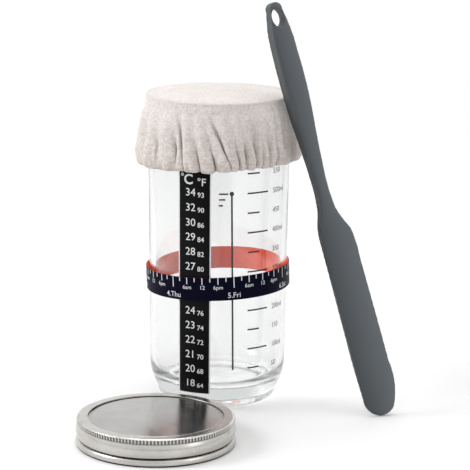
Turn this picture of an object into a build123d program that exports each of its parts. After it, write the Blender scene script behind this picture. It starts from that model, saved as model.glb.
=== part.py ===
"""A sourdough starter jar set, in millimetres, +Z up, the origin at the centre of the jar's base.

A glass jar with a strip thermometer and printed marks stands under a gathered cloth cover, with a
tracking band round it. Its two-piece lid lies in front on the left, and a spatula leans on the right.
"""
from build123d import *
import math
import os

# Glass jar, straight sided, a little wider at the top
jar_height = 179.5
jar_upper_radius = 41.5
jar_lower_radius = 40.2
glass_wall = 3.6
heel_height = 22.0
shoulder_below_rim = 29.5
shoulder_drop = 4.0
heel_inset = 5.4
base_ring_height = 4.6
base_ring_bulge = 0.6
bearing_inset = 1.6
bearing_width = 4.2
push_up_height = 3.6
floor_height = 11.5
floor_corner_radius = 10.0
shoulder_height = jar_height - shoulder_below_rim
base_ring_radius = jar_lower_radius - heel_inset
bearing_outer_radius = base_ring_radius - bearing_inset
bearing_inner_radius = bearing_outer_radius - bearing_width

# Jar neck and its screw thread, placed down from the rim
finish_inset = 1.2
neck_inset = 0.7
neck_wall = 3.0
rim_rounding = 1.4
collar_below_rim = 22.5
collar_width = 3.0
collar_stand = 0.9
thread_below_rim = 16.0
thread_pitch = 6.3
thread_rise = 8.2
thread_stand = 1.9
thread_width = 3.2
thread_root = 0.6
finish_radius = jar_upper_radius - finish_inset
neck_radius = finish_radius - neck_inset
mouth_radius = neck_radius - neck_wall
collar_height = jar_height - collar_below_rim
thread_start_height = jar_height - thread_below_rim

# Strip thermometer, layers counted outwards from the glass; angles run from the front to the right
ink_gap = 0.02
adhesive_thickness = 0.10
cell_thickness = 0.06
film_thickness = 0.16
strip_left_angle = -33.0
strip_right_angle = -5.2
strip_margin_angle = 1.1
strip_below_shoulder = 8.3
strip_heel_angle = 24.5
top_cell_below_strip = 12.6
bottom_cell_height = 15.74
cell_gap = 1.52
cell_count = 14
cell_side_angle = 2.4
cell_clearance = 0.02
strip_top_height = shoulder_height - strip_below_shoulder
top_cell_height = strip_top_height - top_cell_below_strip
cell_pitch = (top_cell_height - bottom_cell_height) / (cell_count - 1)
cell_height = cell_pitch - cell_gap

# Printed marks on the glass
ink_thickness = 0.06
mark_pitch = 11.55
first_mark_height = 24.8
mark_below_shoulder = 5.0
mark_width = 0.55
mark_left_angle = 25.0
short_mark_right_angle = 36.0
long_mark_right_angle = 44.6
line_angle = 11.8
line_width = 0.55
line_below_shoulder = 21.0
line_bottom_height = 24.3
dot_radius = 1.15
line_top_height = shoulder_height - line_below_shoulder
mark_room = shoulder_height - mark_below_shoulder - first_mark_height
mark_count = 1 + int(mark_room / mark_pitch)

# Tracking band, a loose ring that stands at a slight tilt
band_height = 13.6
band_below_shoulder = 76.7
band_gap = 1.15
lining_thickness = 0.25
print_thickness = 0.30
band_tilt_angle = 2.4
seam_angle = 132.0
seam_width = 0.6
band_middle_height = shoulder_height - band_below_shoulder

# Gathered cloth cover; each row is a height over or under the jar's rim, a radius and a fold depth
cover_slip = 0.3
cover_ceiling_gap = 0.5
cover_top_rise = 1.9
cover_crown_inset = 4.3
cover_rim_rise = 1.1
cover_rim_inset = 0.5
cover_rim_fold = 0.15
cover_edge_drop = 1.9
cover_edge_stand = 2.8
cover_edge_fold = 0.4
cover_upper_drop = 9.0
cover_upper_stand = 5.5
cover_upper_fold = 0.8
cover_middle_drop = 18.5
cover_middle_stand = 6.2
cover_middle_fold = 1.3
cover_lower_drop = 29.0
cover_lower_stand = 6.2
cover_lower_fold = 1.7
cover_gather_drop = 34.5
cover_gather_stand = 5.5
cover_gather_fold = 1.4
cover_hem_drop = 37.1
cover_hem_stand = 3.6
cover_hem_fold = 0.6
cover_hem_tilt_angle = 2.2
elastic_radius = 0.7
elastic_drop = 31.5
elastic_clearance = 0.3
cover_crown_radius = finish_radius - cover_crown_inset
cover_rim_radius = finish_radius - cover_rim_inset
cover_edge_radius = finish_radius + cover_edge_stand
cover_upper_radius = finish_radius + cover_upper_stand
cover_middle_radius = finish_radius + cover_middle_stand
cover_lower_radius = finish_radius + cover_lower_stand
cover_gather_radius = finish_radius + cover_gather_stand
cover_hem_radius = finish_radius + cover_hem_stand
cover_top_height = jar_height + cover_top_rise
cover_rim_height = jar_height + cover_rim_rise
cover_edge_height = jar_height - cover_edge_drop
cover_upper_height = jar_height - cover_upper_drop
cover_middle_height = jar_height - cover_middle_drop
cover_lower_height = jar_height - cover_lower_drop
cover_gather_height = jar_height - cover_gather_drop
cover_hem_height = jar_height - cover_hem_drop
elastic_height = jar_height - elastic_drop

# How much of a fold's depth an even fold stands out by
fold_rise_share = 0.5
# Where the cloth's creases lie, as shares of a turn from the front to the right
crease_turn_shares = (
    -0.206, -0.154, -0.102, -0.080, -0.052, -0.014, 0.015, 0.041, 0.064, 0.083, 0.103, 0.125,
    0.149, 0.177, 0.206, 0.240, 0.279, 0.312, 0.351, 0.392, 0.425, 0.468, 0.506, 0.541, 0.586,
    0.627, 0.661, 0.704, 0.748,
)

# Two-piece lid, lying on the table
lid_x = -32.7
lid_y = -99.4
lid_height = 15.5
sheet_gauge = 0.5
lid_opening_radius = 37.8
lid_side_radius = 43.4
flange_round = 1.3
knurl_bottom_height = 10.9
bead_stand = 0.8
bead_bottom_height = 5.3
groove_depth = 0.5
groove_bottom_height = 3.7
curl_stand = 0.75
curl_foot_stand = 0.2
disc_gap = 0.3
disc_gauge = 0.4
disc_panel_radius = 36.0
disc_panel_rise = 0.3
gasket_thickness = 0.9
gasket_width = 3.6
gasket_inset = 0.4

# Spatula, stood on its blade and leant on the cover, which it passes at the cover's top edge
spatula_length = 246.5
blade_width = 22.4
handle_thickness = 10.0
spatula_side_x = 47.122
spatula_side_y = -25.6575
spatula_lean_x = -63.6
spatula_lean_y = 28.0
spatula_lean_z = 233.0
spatula_turn_angle = 24.0
hole_length = 10.6
hole_width = 7.2
hole_end_distance = 9.0
hole_offset = -2.0
core_thickness = 1.6
core_handle_width = 5.0
core_blade_width = 12.0
core_bottom = 22.0
core_shoulder = 100.0
core_neck = 116.0
core_top = 222.0
spatula_foot_x = spatula_side_x - cover_edge_height * spatula_lean_x / spatula_lean_z
spatula_foot_y = spatula_side_y - cover_edge_height * spatula_lean_y / spatula_lean_z

overrun = 1.0


def at(radius, height):
    """A point on the section plane that all round parts are turned from."""
    return (radius, 0, height)


def wall_radius(height):
    """Outside radius of the jar's straight side at a height."""
    rise = (height - heel_height) / (shoulder_height - heel_height)
    return jar_lower_radius + rise * (jar_upper_radius - jar_lower_radius)


heel_drop = heel_height - base_ring_height
heel_radius = (heel_drop**2 + heel_inset**2) / (2 * heel_inset)


def heel_point(angle, offset=0):
    """A point on the heel's arc, an angle below its top, pushed out by an offset."""
    reach = heel_radius + offset
    centre = jar_lower_radius - heel_radius
    turn = math.radians(angle)
    return at(centre + reach * math.cos(turn), heel_height - reach * math.sin(turn))


def turned(edges, left_angle=0, right_angle=360):
    """A closed outline turned about the jar's axis, between two angles from the front."""
    solid = revolve(make_face(edges), axis=Axis.Z, revolution_arc=right_angle - left_angle)
    return solid.rotate(Axis.Z, left_angle - 90)


def polygon(*points):
    return Polyline(*points, close=True)


def make_thread():
    """The bead that the screw band runs on, one start and a turn and a third."""
    radius = finish_radius - thread_root
    path = Helix(thread_pitch, thread_rise, radius, center=(0, 0, thread_start_height))
    half = thread_width / 2
    reach = thread_root + thread_stand
    flat = half / 2
    section_plane = Plane(origin=path @ 0, x_dir=(1, 0, 0), z_dir=path % 0)
    section = section_plane * make_face(
        polygon((0, -half), (reach, -flat), (reach, flat), (0, half))
    )
    return sweep(section, path=path, is_frenet=True)


def make_jar():
    outside_heel = math.degrees(math.asin(heel_drop / heel_radius))
    neck_height = shoulder_height + shoulder_drop
    inner_lower = jar_lower_radius - glass_wall
    inner_upper = jar_upper_radius - glass_wall
    ring_middle = base_ring_height / 2
    outer = (
        Line(at(bearing_inner_radius, 0), at(bearing_outer_radius, 0))
        + ThreePointArc(
            at(bearing_outer_radius, 0),
            at(base_ring_radius + base_ring_bulge, ring_middle),
            at(base_ring_radius, base_ring_height),
        )
        + ThreePointArc(
            heel_point(outside_heel), heel_point(outside_heel / 2), heel_point(0)
        )
        + Line(at(jar_lower_radius, heel_height), at(jar_upper_radius, shoulder_height))
        + Spline(
            at(jar_upper_radius, shoulder_height),
            at(neck_radius, neck_height),
            tangents=((0, 0, 1), (0, 0, 1)),
        )
        + Line(at(neck_radius, neck_height), at(neck_radius, jar_height))
    )
    corner_height = floor_height + floor_corner_radius
    corner_inset = floor_corner_radius * (1 - math.sqrt(0.5))
    inner = (
        Line(at(neck_radius, jar_height), at(mouth_radius, jar_height))
        + Line(at(mouth_radius, jar_height), at(mouth_radius, neck_height))
        + Spline(
            at(mouth_radius, neck_height),
            at(inner_upper, shoulder_height),
            tangents=((0, 0, -1), (0, 0, -1)),
        )
        + Line(at(inner_upper, shoulder_height), at(inner_lower, corner_height))
        + ThreePointArc(
            at(inner_lower, corner_height),
            at(inner_lower - corner_inset, floor_height + corner_inset),
            at(inner_lower - floor_corner_radius, floor_height),
        )
        + Line(at(inner_lower - floor_corner_radius, floor_height), at(0, floor_height))
        + Line(at(0, floor_height), at(0, push_up_height))
        + Spline(
            at(0, push_up_height),
            at(bearing_inner_radius, 0),
            tangents=((1, 0, 0), (1, 0, -1)),
        )
    )
    body = turned(outer + inner)
    finish = turned(
        polygon(
            at(neck_radius - glass_wall / 2, collar_height),
            at(finish_radius, collar_height),
            at(finish_radius, jar_height),
            at(neck_radius - glass_wall / 2, jar_height),
        )
    )
    collar = turned(
        Line(
            at(finish_radius - thread_root, collar_height),
            at(finish_radius - thread_root, collar_height + collar_width),
        )
        + Line(
            at(finish_radius - thread_root, collar_height + collar_width),
            at(finish_radius, collar_height + collar_width),
        )
        + ThreePointArc(
            at(finish_radius, collar_height + collar_width),
            at(finish_radius + collar_stand, collar_height + collar_width / 2),
            at(finish_radius, collar_height),
        )
        + Line(at(finish_radius, collar_height), at(finish_radius - thread_root, collar_height))
    )
    jar = body + finish
    rim = jar.edges().filter_by(GeomType.CIRCLE).group_by(Axis.Z)[-1]
    jar = fillet(rim, rim_rounding)
    return jar + collar + make_thread()


def strip_layer(gap, thickness, trim_angle):
    """One layer of the thermometer strip, which follows the side and runs on round the heel."""
    low = strip_heel_angle
    near = gap
    far = gap + thickness
    top = strip_top_height
    outline = (
        Line(at(wall_radius(top) + near, top), at(wall_radius(top) + far, top))
        + Line(at(wall_radius(top) + far, top), heel_point(0, far))
        + ThreePointArc(heel_point(0, far), heel_point(low / 2, far), heel_point(low, far))
        + Line(heel_point(low, far), heel_point(low, near))
        + ThreePointArc(heel_point(low, near), heel_point(low / 2, near), heel_point(0, near))
        + Line(heel_point(0, near), at(wall_radius(top) + near, top))
    )
    return turned(outline, strip_left_angle + trim_angle, strip_right_angle - trim_angle)


def cell_slab(index, clearance=0):
    """The level slab that one temperature's cell is cut from."""
    width = 2 * jar_upper_radius + overrun
    middle = top_cell_height - index * cell_pitch
    return Pos(0, -jar_upper_radius, middle) * Box(width, width, cell_height + 2 * clearance)


def make_cells(clearance=0):
    """One liquid crystal cell for each temperature, in a column."""
    inner = ink_gap + adhesive_thickness
    layer = strip_layer(inner, cell_thickness + clearance, strip_margin_angle + cell_side_angle)
    cells = []
    for index in range(cell_count):
        cells += (layer & cell_slab(index, clearance)).solids()
    return cells


def make_thermometer():
    adhesive = strip_layer(ink_gap, adhesive_thickness, 0)
    film_start = ink_gap + adhesive_thickness
    film = strip_layer(film_start, film_thickness + cell_thickness, strip_margin_angle)
    for pocket in make_cells(cell_clearance):
        film -= pocket
    return adhesive, film, Compound(children=make_cells())


def wall_patch(low, high, left_angle, right_angle):
    """A film of ink on the straight side of the jar."""
    near = ink_gap
    far = ink_gap + ink_thickness
    return turned(
        polygon(
            at(wall_radius(low) + near, low),
            at(wall_radius(low) + far, low),
            at(wall_radius(high) + far, high),
            at(wall_radius(high) + near, high),
        ),
        left_angle,
        right_angle,
    )


def make_volume_marks():
    """A stroke for every fifty millilitres, longer at the hundreds."""
    marks = []
    for index in range(mark_count):
        middle = first_mark_height + index * mark_pitch
        right = long_mark_right_angle if index % 2 else short_mark_right_angle
        marks.append(
            wall_patch(middle - mark_width / 2, middle + mark_width / 2, mark_left_angle, right)
        )
    return Compound(children=marks)


def make_feeding_line():
    """The upright line that shows the time of the last feed, with a dot at its top."""
    half_angle = math.degrees(line_width / 2 / wall_radius(line_top_height))
    line = wall_patch(
        line_bottom_height, line_top_height, line_angle - half_angle, line_angle + half_angle
    )
    dot_angle = math.degrees(dot_radius / wall_radius(line_top_height)) + half_angle
    patch = wall_patch(
        line_top_height - 2 * dot_radius,
        line_top_height + 2 * dot_radius,
        line_angle - dot_angle,
        line_angle + dot_angle,
    )
    bearing = math.radians(line_angle)
    outward = (math.sin(bearing), -math.cos(bearing), 0)
    reach = 2 * jar_upper_radius
    pin = Plane(origin=(0, 0, line_top_height), z_dir=outward) * Cylinder(
        dot_radius, reach, align=(Align.CENTER, Align.CENTER, Align.MIN)
    )
    return line + (patch & pin)


band_inner_radius = wall_radius(band_middle_height) + band_gap


def band_ring(inner, thickness):
    half = band_height / 2
    return turned(
        polygon(
            at(inner, -half), at(inner + thickness, -half), at(inner + thickness, half), at(inner, half)
        )
    )


def place_band(ring):
    """The right side of the band stands higher than the left."""
    return Pos(0, 0, band_middle_height) * Rot(0, -band_tilt_angle, 0) * ring


def make_band_lining():
    ring = band_ring(band_inner_radius, lining_thickness)
    reach = band_inner_radius + lining_thickness + overrun
    seam = Pos(reach / 2, 0, 0) * Box(reach, seam_width, band_height + overrun)
    return place_band(ring - seam.rotate(Axis.Z, seam_angle - 90))


def make_tracking_band():
    return place_band(band_ring(band_inner_radius + lining_thickness, print_thickness))


skirt_inner = finish_radius + thread_stand + cover_slip


def cloth_section(height, radius, fold, tilt_angle=0):
    """A closed ring of outward arcs that meet at the creases, its right side tilted up."""
    count = len(crease_turn_shares)
    even_share = 1 / count
    arcs = []
    for index in range(count):
        start = crease_turn_shares[index]
        end = crease_turn_shares[(index + 1) % count] + (index + 1 == count)
        width_share = (end - start) / even_share
        ridge = radius + fold * (math.sqrt(width_share) - fold_rise_share)
        crease = radius - fold / 2
        points = []
        for share, reach in ((start, crease), ((start + end) / 2, ridge), (end, crease)):
            turn = math.tau * share
            points.append((reach * math.sin(turn), -reach * math.cos(turn), 0))
        arcs.append(ThreePointArc(*points))
    return Pos(0, 0, height) * Rot(0, -tilt_angle, 0) * make_face(Curve() + arcs)


def make_cloth_cover():
    rows = (
        (cover_hem_height, cover_hem_radius, cover_hem_fold, cover_hem_tilt_angle),
        (cover_gather_height, cover_gather_radius, cover_gather_fold, cover_hem_tilt_angle),
        (cover_lower_height, cover_lower_radius, cover_lower_fold, cover_hem_tilt_angle),
        (cover_middle_height, cover_middle_radius, cover_middle_fold),
        (cover_upper_height, cover_upper_radius, cover_upper_fold),
        (cover_edge_height, cover_edge_radius, cover_edge_fold),
        (cover_rim_height, cover_rim_radius, cover_rim_fold),
        (cover_top_height, cover_crown_radius, cover_rim_fold),
    )
    outside = loft([cloth_section(*row) for row in rows])
    hem_reach = overrun + cover_hem_radius * math.sin(math.radians(cover_hem_tilt_angle))
    ceiling = jar_height + cover_ceiling_gap
    rim_inner = finish_radius + cover_ceiling_gap
    inside = turned(
        polygon(
            at(0, cover_hem_height - hem_reach),
            at(skirt_inner, cover_hem_height - hem_reach),
            at(skirt_inner, thread_start_height + thread_rise + thread_width / 2),
            at(rim_inner, jar_height - rim_rounding),
            at(rim_inner - rim_rounding, ceiling),
            at(0, ceiling),
        )
    )
    tunnel_half = elastic_radius + elastic_clearance
    tunnel = turned(
        polygon(
            at(skirt_inner - overrun, elastic_height - tunnel_half),
            at(skirt_inner + 2 * tunnel_half, elastic_height - tunnel_half),
            at(skirt_inner + 2 * tunnel_half, elastic_height + tunnel_half),
            at(skirt_inner - overrun, elastic_height + tunnel_half),
        )
    )
    return outside - inside - tunnel


def make_hem_elastic():
    middle = skirt_inner + elastic_clearance + elastic_radius
    section = Plane(origin=at(middle, elastic_height), z_dir=(0, -1, 0)) * Circle(elastic_radius)
    return revolve(section, axis=Axis.Z)


def lid_side(inset, drop):
    """The screw band's skin from its flange down to its foot, set in and lowered for the inner face."""
    side = lid_side_radius - inset
    top = lid_height - drop
    corner_turn = flange_round * (1 - math.sqrt(0.5))
    bead_middle = (knurl_bottom_height + bead_bottom_height) / 2
    groove_middle = (bead_bottom_height + groove_bottom_height) / 2
    return (
        Line(at(lid_opening_radius, top), at(side - flange_round, top))
        + ThreePointArc(
            at(side - flange_round, top),
            at(side - corner_turn, top - corner_turn),
            at(side, top - flange_round),
        )
        + Line(at(side, top - flange_round), at(side, knurl_bottom_height))
        + ThreePointArc(
            at(side, knurl_bottom_height),
            at(side + bead_stand, bead_middle),
            at(side, bead_bottom_height),
        )
        + ThreePointArc(
            at(side, bead_bottom_height),
            at(side - groove_depth, groove_middle),
            at(side, groove_bottom_height),
        )
        + ThreePointArc(
            at(side, groove_bottom_height),
            at(side + curl_stand, groove_bottom_height / 2),
            at(side + curl_foot_stand, 0),
        )
    )


def make_screw_band():
    foot = lid_side_radius + curl_foot_stand
    outline = (
        lid_side(0, 0)
        + Line(at(foot, 0), at(foot - sheet_gauge, 0))
        + lid_side(sheet_gauge, sheet_gauge)
        + Line(at(lid_opening_radius, lid_height - sheet_gauge), at(lid_opening_radius, lid_height))
    )
    return Pos(lid_x, lid_y, 0) * turned(outline)


disc_radius = lid_side_radius - sheet_gauge - disc_gap
disc_edge_height = lid_height - sheet_gauge - disc_gap
disc_underside = disc_edge_height - disc_gauge


def make_lid_disc():
    slope = disc_panel_rise
    panel = disc_edge_height + disc_panel_rise
    outline = polygon(
        at(0, panel - disc_gauge),
        at(disc_panel_radius, panel - disc_gauge),
        at(disc_panel_radius + slope, disc_underside),
        at(disc_radius - flange_round, disc_underside),
        at(disc_radius - flange_round, disc_edge_height),
        at(disc_panel_radius + slope, disc_edge_height),
        at(disc_panel_radius, panel),
        at(0, panel),
    )
    return Pos(lid_x, lid_y, 0) * turned(outline)


def make_lid_gasket():
    outer = disc_radius - flange_round - gasket_inset
    outline = polygon(
        at(outer - gasket_width, disc_underside),
        at(outer - gasket_width, disc_underside - gasket_thickness),
        at(outer, disc_underside - gasket_thickness),
        at(outer, disc_underside),
    )
    return Pos(lid_x, lid_y, 0) * turned(outline)


# Spatula outline, each pair a share of the blade's width and a share of the length from the foot
spatula_outline_shares = (
    (0.060, 0.000), (-0.235, 0.014), (-0.355, 0.050), (-0.382, 0.110), (-0.392, 0.200),
    (-0.404, 0.330), (-0.408, 0.435), (-0.376, 0.466), (-0.275, 0.494), (-0.215, 0.530),
    (-0.208, 0.560), (-0.242, 0.625), (-0.320, 0.710), (-0.362, 0.800), (-0.368, 0.880),
    (-0.320, 0.945), (-0.245, 0.980), (-0.085, 1.000), (0.090, 0.980), (0.156, 0.945),
    (0.208, 0.880), (0.226, 0.800), (0.193, 0.730), (0.146, 0.670), (0.120, 0.610),
    (0.114, 0.550), (0.162, 0.505), (0.296, 0.475), (0.446, 0.450), (0.496, 0.425),
    (0.514, 0.380), (0.549, 0.260), (0.580, 0.120), (0.566, 0.050), (0.415, 0.012), (0.250, 0.002),
)
# Thickness, each pair a share of the handle's thickness and a share of the length
spatula_side_shares = (
    (0.24, -0.01), (0.34, 0.08), (0.40, 0.25), (0.48, 0.42), (0.72, 0.52), (0.90, 0.62),
    (1.00, 0.78), (0.94, 0.92), (0.72, 1.01),
)


def spatula_frame():
    """The plane across the foot whose normal runs up the leaning handle."""
    along = Vector(spatula_lean_x, spatula_lean_y, spatula_lean_z).normalized()
    turn = math.radians(spatula_turn_angle)
    back = Vector(-math.sin(turn), math.cos(turn), 0)
    back = (back - along * back.dot(along)).normalized()
    across = back.cross(along)
    return Plane(origin=(spatula_foot_x, spatula_foot_y, 0), x_dir=across, z_dir=along)


def arcs_through(points):
    """A run of arcs, each from one point through the next to the one after."""
    starts = range(0, len(points) - 2, 2)
    return Curve() + [ThreePointArc(*points[start:start + 3]) for start in starts]


def spatula_body():
    """The front outline, cut to the side outline."""
    outline = [(x * blade_width, z * spatula_length) for x, z in spatula_outline_shares]
    face = make_face(arcs_through(outline + outline[:1]))
    front = extrude(Plane.XZ * face, handle_thickness, both=True)
    back_edge = [(x * handle_thickness / 2, z * spatula_length) for x, z in spatula_side_shares]
    front_edge = [(-x, z) for x, z in back_edge]
    foot = Line(front_edge[0], back_edge[0])
    head = Line(front_edge[-1], back_edge[-1])
    side_face = make_face(arcs_through(back_edge) + arcs_through(front_edge) + foot + head)
    return front & extrude(Plane.YZ * side_face, blade_width, both=True)


def spatula_core_blank():
    half_blade = core_blade_width / 2
    half_handle = core_handle_width / 2
    neck_offset = half_handle / 2
    outline = polygon(
        (-half_blade / 2, core_bottom),
        (half_blade, core_bottom),
        (half_blade, core_shoulder),
        (half_handle - neck_offset, core_neck),
        (half_handle - neck_offset, core_top),
        (-half_handle - neck_offset, core_top),
        (-half_handle - neck_offset, core_neck),
        (-half_blade / 2, core_shoulder),
    )
    return extrude(Plane.XZ * make_face(outline), core_thickness / 2, both=True)


def hanging_hole():
    """The long round hole through the handle's head."""
    middle = spatula_length - hole_end_distance
    outline = Pos(hole_offset, middle) * Ellipse(hole_width / 2, hole_length / 2)
    return extrude(Plane.XZ * outline, handle_thickness, both=True)


def make_spatula():
    body = spatula_body()
    core = spatula_core_blank()
    skin = body - hanging_hole() - core
    return skin, core


def rest_on_table(parts):
    """The leaning pieces, lowered until the foot just stands on the table."""
    frame = Location(spatula_frame())
    placed = [frame * part for part in parts]
    lowest = min(part.bounding_box().min.Z for part in placed)
    return [Pos(0, 0, -lowest) * part for part in placed]


def main():
    os.makedirs("parts", exist_ok=True)
    adhesive, film, cells = make_thermometer()
    spatula_silicone, spatula_core = rest_on_table(make_spatula())
    nodes = {
        "glass_jar": make_jar(),
        "thermometer_adhesive": adhesive,
        "thermometer_cells": cells,
        "thermometer_film": film,
        "volume_marks": make_volume_marks(),
        "feeding_line": make_feeding_line(),
        "band_lining": make_band_lining(),
        "tracking_band": make_tracking_band(),
        "cloth_cover": make_cloth_cover(),
        "hem_elastic": make_hem_elastic(),
        "screw_band": make_screw_band(),
        "lid_disc": make_lid_disc(),
        "lid_gasket": make_lid_gasket(),
        "spatula_silicone": spatula_silicone,
        "spatula_core": spatula_core,
    }
    for name, shape in nodes.items():
        export_step(shape, f"parts/{name}.step")
        print(name, round(shape.volume), len(shape.solids()))


if __name__ == "__main__":
    main()
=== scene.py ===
"""Looks for a sourdough starter jar set.

The set is a glass jar, strip thermometer, tracking band, cloth cover, two-piece lid and spatula.
Every size is in metres, in the frame of the solids: the jar stands at the origin, its front faces -Y.
"""

import math
import random

import bmesh
import bpy
from bpy.props import FloatProperty, FloatVectorProperty, IntProperty, PointerProperty
from bpy.types import Operator, Panel, PropertyGroup
from mathutils import Matrix, Vector, noise


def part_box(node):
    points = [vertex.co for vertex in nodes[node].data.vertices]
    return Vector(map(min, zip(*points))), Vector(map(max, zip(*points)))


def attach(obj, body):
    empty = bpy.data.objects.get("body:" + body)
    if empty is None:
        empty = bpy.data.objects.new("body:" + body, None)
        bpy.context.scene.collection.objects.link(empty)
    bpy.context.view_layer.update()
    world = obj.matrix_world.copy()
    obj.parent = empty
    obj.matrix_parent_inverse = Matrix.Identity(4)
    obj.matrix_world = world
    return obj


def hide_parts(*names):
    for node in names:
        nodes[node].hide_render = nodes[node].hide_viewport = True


bl_info = {
    "name": "Sourdough starter jar",
    "version": (1, 0, 0),
    "blender": (4, 5, 0),
    "location": "3D View > Sidebar > Starter Jar",
    "description": "Dresses the starter jar set with glass, cloth, metal and silicone",
    "category": "Object",
}

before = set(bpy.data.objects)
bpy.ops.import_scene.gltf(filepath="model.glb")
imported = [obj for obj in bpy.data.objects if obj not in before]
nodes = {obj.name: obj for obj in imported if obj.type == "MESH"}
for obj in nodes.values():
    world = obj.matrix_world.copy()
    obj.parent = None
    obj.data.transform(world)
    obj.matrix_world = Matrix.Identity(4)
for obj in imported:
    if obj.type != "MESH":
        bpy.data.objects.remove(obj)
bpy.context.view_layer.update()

MM = 0.001
TAU = math.tau
QUARTER = math.radians(90)
MERGE = 0.001 * MM
CORNER_SHARE = 0.45

# Places of the lid and the band, from the solids' boxes
LID_LOW, LID_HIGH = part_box("screw_band")
LID_CENTRE = (LID_LOW + LID_HIGH) / 2
BAND_LOW, BAND_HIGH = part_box("tracking_band")
BAND_MIDDLE = (BAND_LOW.z + BAND_HIGH.z) / 2


class JarProperties(PropertyGroup):
    """The glass jar and what is printed on it."""

    heel_height: FloatProperty(
        name="Heel height", description="Where the straight side starts", default=22.0 * MM,
        unit="LENGTH",
    )
    shoulder_height: FloatProperty(
        name="Shoulder height", description="Where the straight side ends", default=150.0 * MM,
        unit="LENGTH",
    )
    lower_radius: FloatProperty(
        name="Lower radius", description="Side radius at the heel", default=40.2 * MM, unit="LENGTH"
    )
    upper_radius: FloatProperty(
        name="Upper radius", description="Side radius at the shoulder", default=41.5 * MM, unit="LENGTH"
    )
    wall: FloatProperty(
        name="Wall", description="Thickness of the glass at the side", default=3.6 * MM, unit="LENGTH"
    )
    mark_pitch: FloatProperty(
        name="Mark pitch", description="Height of fifty millilitres", default=11.55 * MM, unit="LENGTH"
    )
    mark_count: IntProperty(name="Marks", description="Number of volume marks", default=11)
    glass_colour: FloatVectorProperty(
        name="Glass", description="Tint of the glass in its depth", default=(0.50, 0.55, 0.55),
        subtype="COLOR",
    )
    ink_colour: FloatVectorProperty(
        name="Ink", description="Printed marks", default=(0.02, 0.02, 0.022), subtype="COLOR"
    )


class ThermometerProperties(PropertyGroup):
    """The strip thermometer stuck on the jar."""

    left_angle: FloatProperty(
        name="Left edge", description="Angle from the front", default=math.radians(-33.0),
        subtype="ANGLE",
    )
    right_angle: FloatProperty(
        name="Right edge", description="Angle from the front", default=math.radians(-5.2),
        subtype="ANGLE",
    )
    top: FloatProperty(
        name="Top", description="Height of its top edge", default=141.7 * MM, unit="LENGTH"
    )
    bottom: FloatProperty(
        name="Bottom", description="Height of its lower edge", default=9.2 * MM, unit="LENGTH"
    )
    strip_colour: FloatVectorProperty(
        name="Strip", description="Printed film", default=(0.004, 0.004, 0.005), subtype="COLOR"
    )
    numeral_colour: FloatVectorProperty(
        name="Numerals", description="Bare film of the numerals", default=(0.82, 0.82, 0.82),
        subtype="COLOR",
    )


class BandProperties(PropertyGroup):
    """The turning band that tracks the feeding time."""

    height: FloatProperty(
        name="Height", description="Width of the strip", default=13.6 * MM, unit="LENGTH"
    )
    inner_radius: FloatProperty(
        name="Inner radius", description="Radius of the bore", default=41.871 * MM, unit="LENGTH"
    )
    lining: FloatProperty(
        name="Lining", description="Thickness of the inner colour", default=0.25 * MM, unit="LENGTH"
    )
    skin: FloatProperty(
        name="Skin", description="Thickness of the outer colour", default=0.30 * MM, unit="LENGTH"
    )
    tilt: FloatProperty(
        name="Tilt", description="How far its right side stands up", default=math.radians(2.4),
        subtype="ANGLE",
    )
    outside_colour: FloatVectorProperty(
        name="Outside", description="Dial side", default=(0.0024, 0.0026, 0.012), subtype="COLOR"
    )
    inside_colour: FloatVectorProperty(
        name="Inside", description="Glass side", default=(1.0, 0.105, 0.05), subtype="COLOR"
    )
    print_colour: FloatVectorProperty(
        name="Dial print", description="Ticks and words", default=(0.78, 0.80, 0.84), subtype="COLOR"
    )


class CoverProperties(PropertyGroup):
    """The gathered cloth cover."""

    thickness: FloatProperty(
        name="Thickness", description="Thickness of the cloth", default=0.45 * MM, unit="LENGTH"
    )
    thread_pitch: FloatProperty(
        name="Thread pitch", description="Distance from thread to thread", default=0.62 * MM,
        unit="LENGTH",
    )
    fold_seed: IntProperty(name="Fold seed", description="Seed of the small folds", default=7)
    cloth_colour: FloatVectorProperty(
        name="Cloth", description="Undyed linen", default=(0.915, 0.865, 0.835), subtype="COLOR"
    )
    slub_colour: FloatVectorProperty(
        name="Slubs", description="Darker threads", default=(0.67, 0.585, 0.54), subtype="COLOR"
    )


class LidProperties(PropertyGroup):
    """The two-piece metal lid."""

    knurl_count: IntProperty(name="Knurls", description="Ridges round the edge", default=144)
    metal_colour: FloatVectorProperty(
        name="Tinplate", description="Screw band", default=(0.627, 0.61, 0.582), subtype="COLOR"
    )
    disc_colour: FloatVectorProperty(
        name="Disc", description="Flat disc", default=(0.50, 0.49, 0.475), subtype="COLOR"
    )
    gasket_colour: FloatVectorProperty(
        name="Gasket", description="Sealing compound", default=(0.62, 0.60, 0.55), subtype="COLOR"
    )


class SpatulaProperties(PropertyGroup):
    """The silicone spatula."""

    voxel: FloatProperty(
        name="Detail", description="Size of the finest form", default=0.55 * MM, unit="LENGTH"
    )
    silicone_colour: FloatVectorProperty(
        name="Silicone", description="Moulded skin", default=(0.095, 0.107, 0.118), subtype="COLOR"
    )


class StageProperties(PropertyGroup):
    """The floor, the lamps and the camera."""

    camera_place: FloatVectorProperty(
        name="Camera", description="Where the camera stands",
        default=(9.93 * MM, -1171.0 * MM, 355.9 * MM), subtype="TRANSLATION",
    )
    camera_pitch: FloatProperty(
        name="Camera pitch", description="How far it looks down", default=math.radians(12.51),
        subtype="ANGLE",
    )
    camera_roll: FloatProperty(
        name="Camera roll", description="How far its right side is up", default=math.radians(0.622),
        subtype="ANGLE",
    )
    lens: FloatProperty(name="Lens", description="Focal length on 36 mm film", default=155.04)
    floor_colour: FloatVectorProperty(
        name="Floor", description="Table", default=(0.83, 0.83, 0.83), subtype="COLOR"
    )


def smooth_step(value):
    """A share held between nought and one and eased at both ends."""
    value = max(0.0, min(1.0, value))
    return value * value * (3 - 2 * value)


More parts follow.
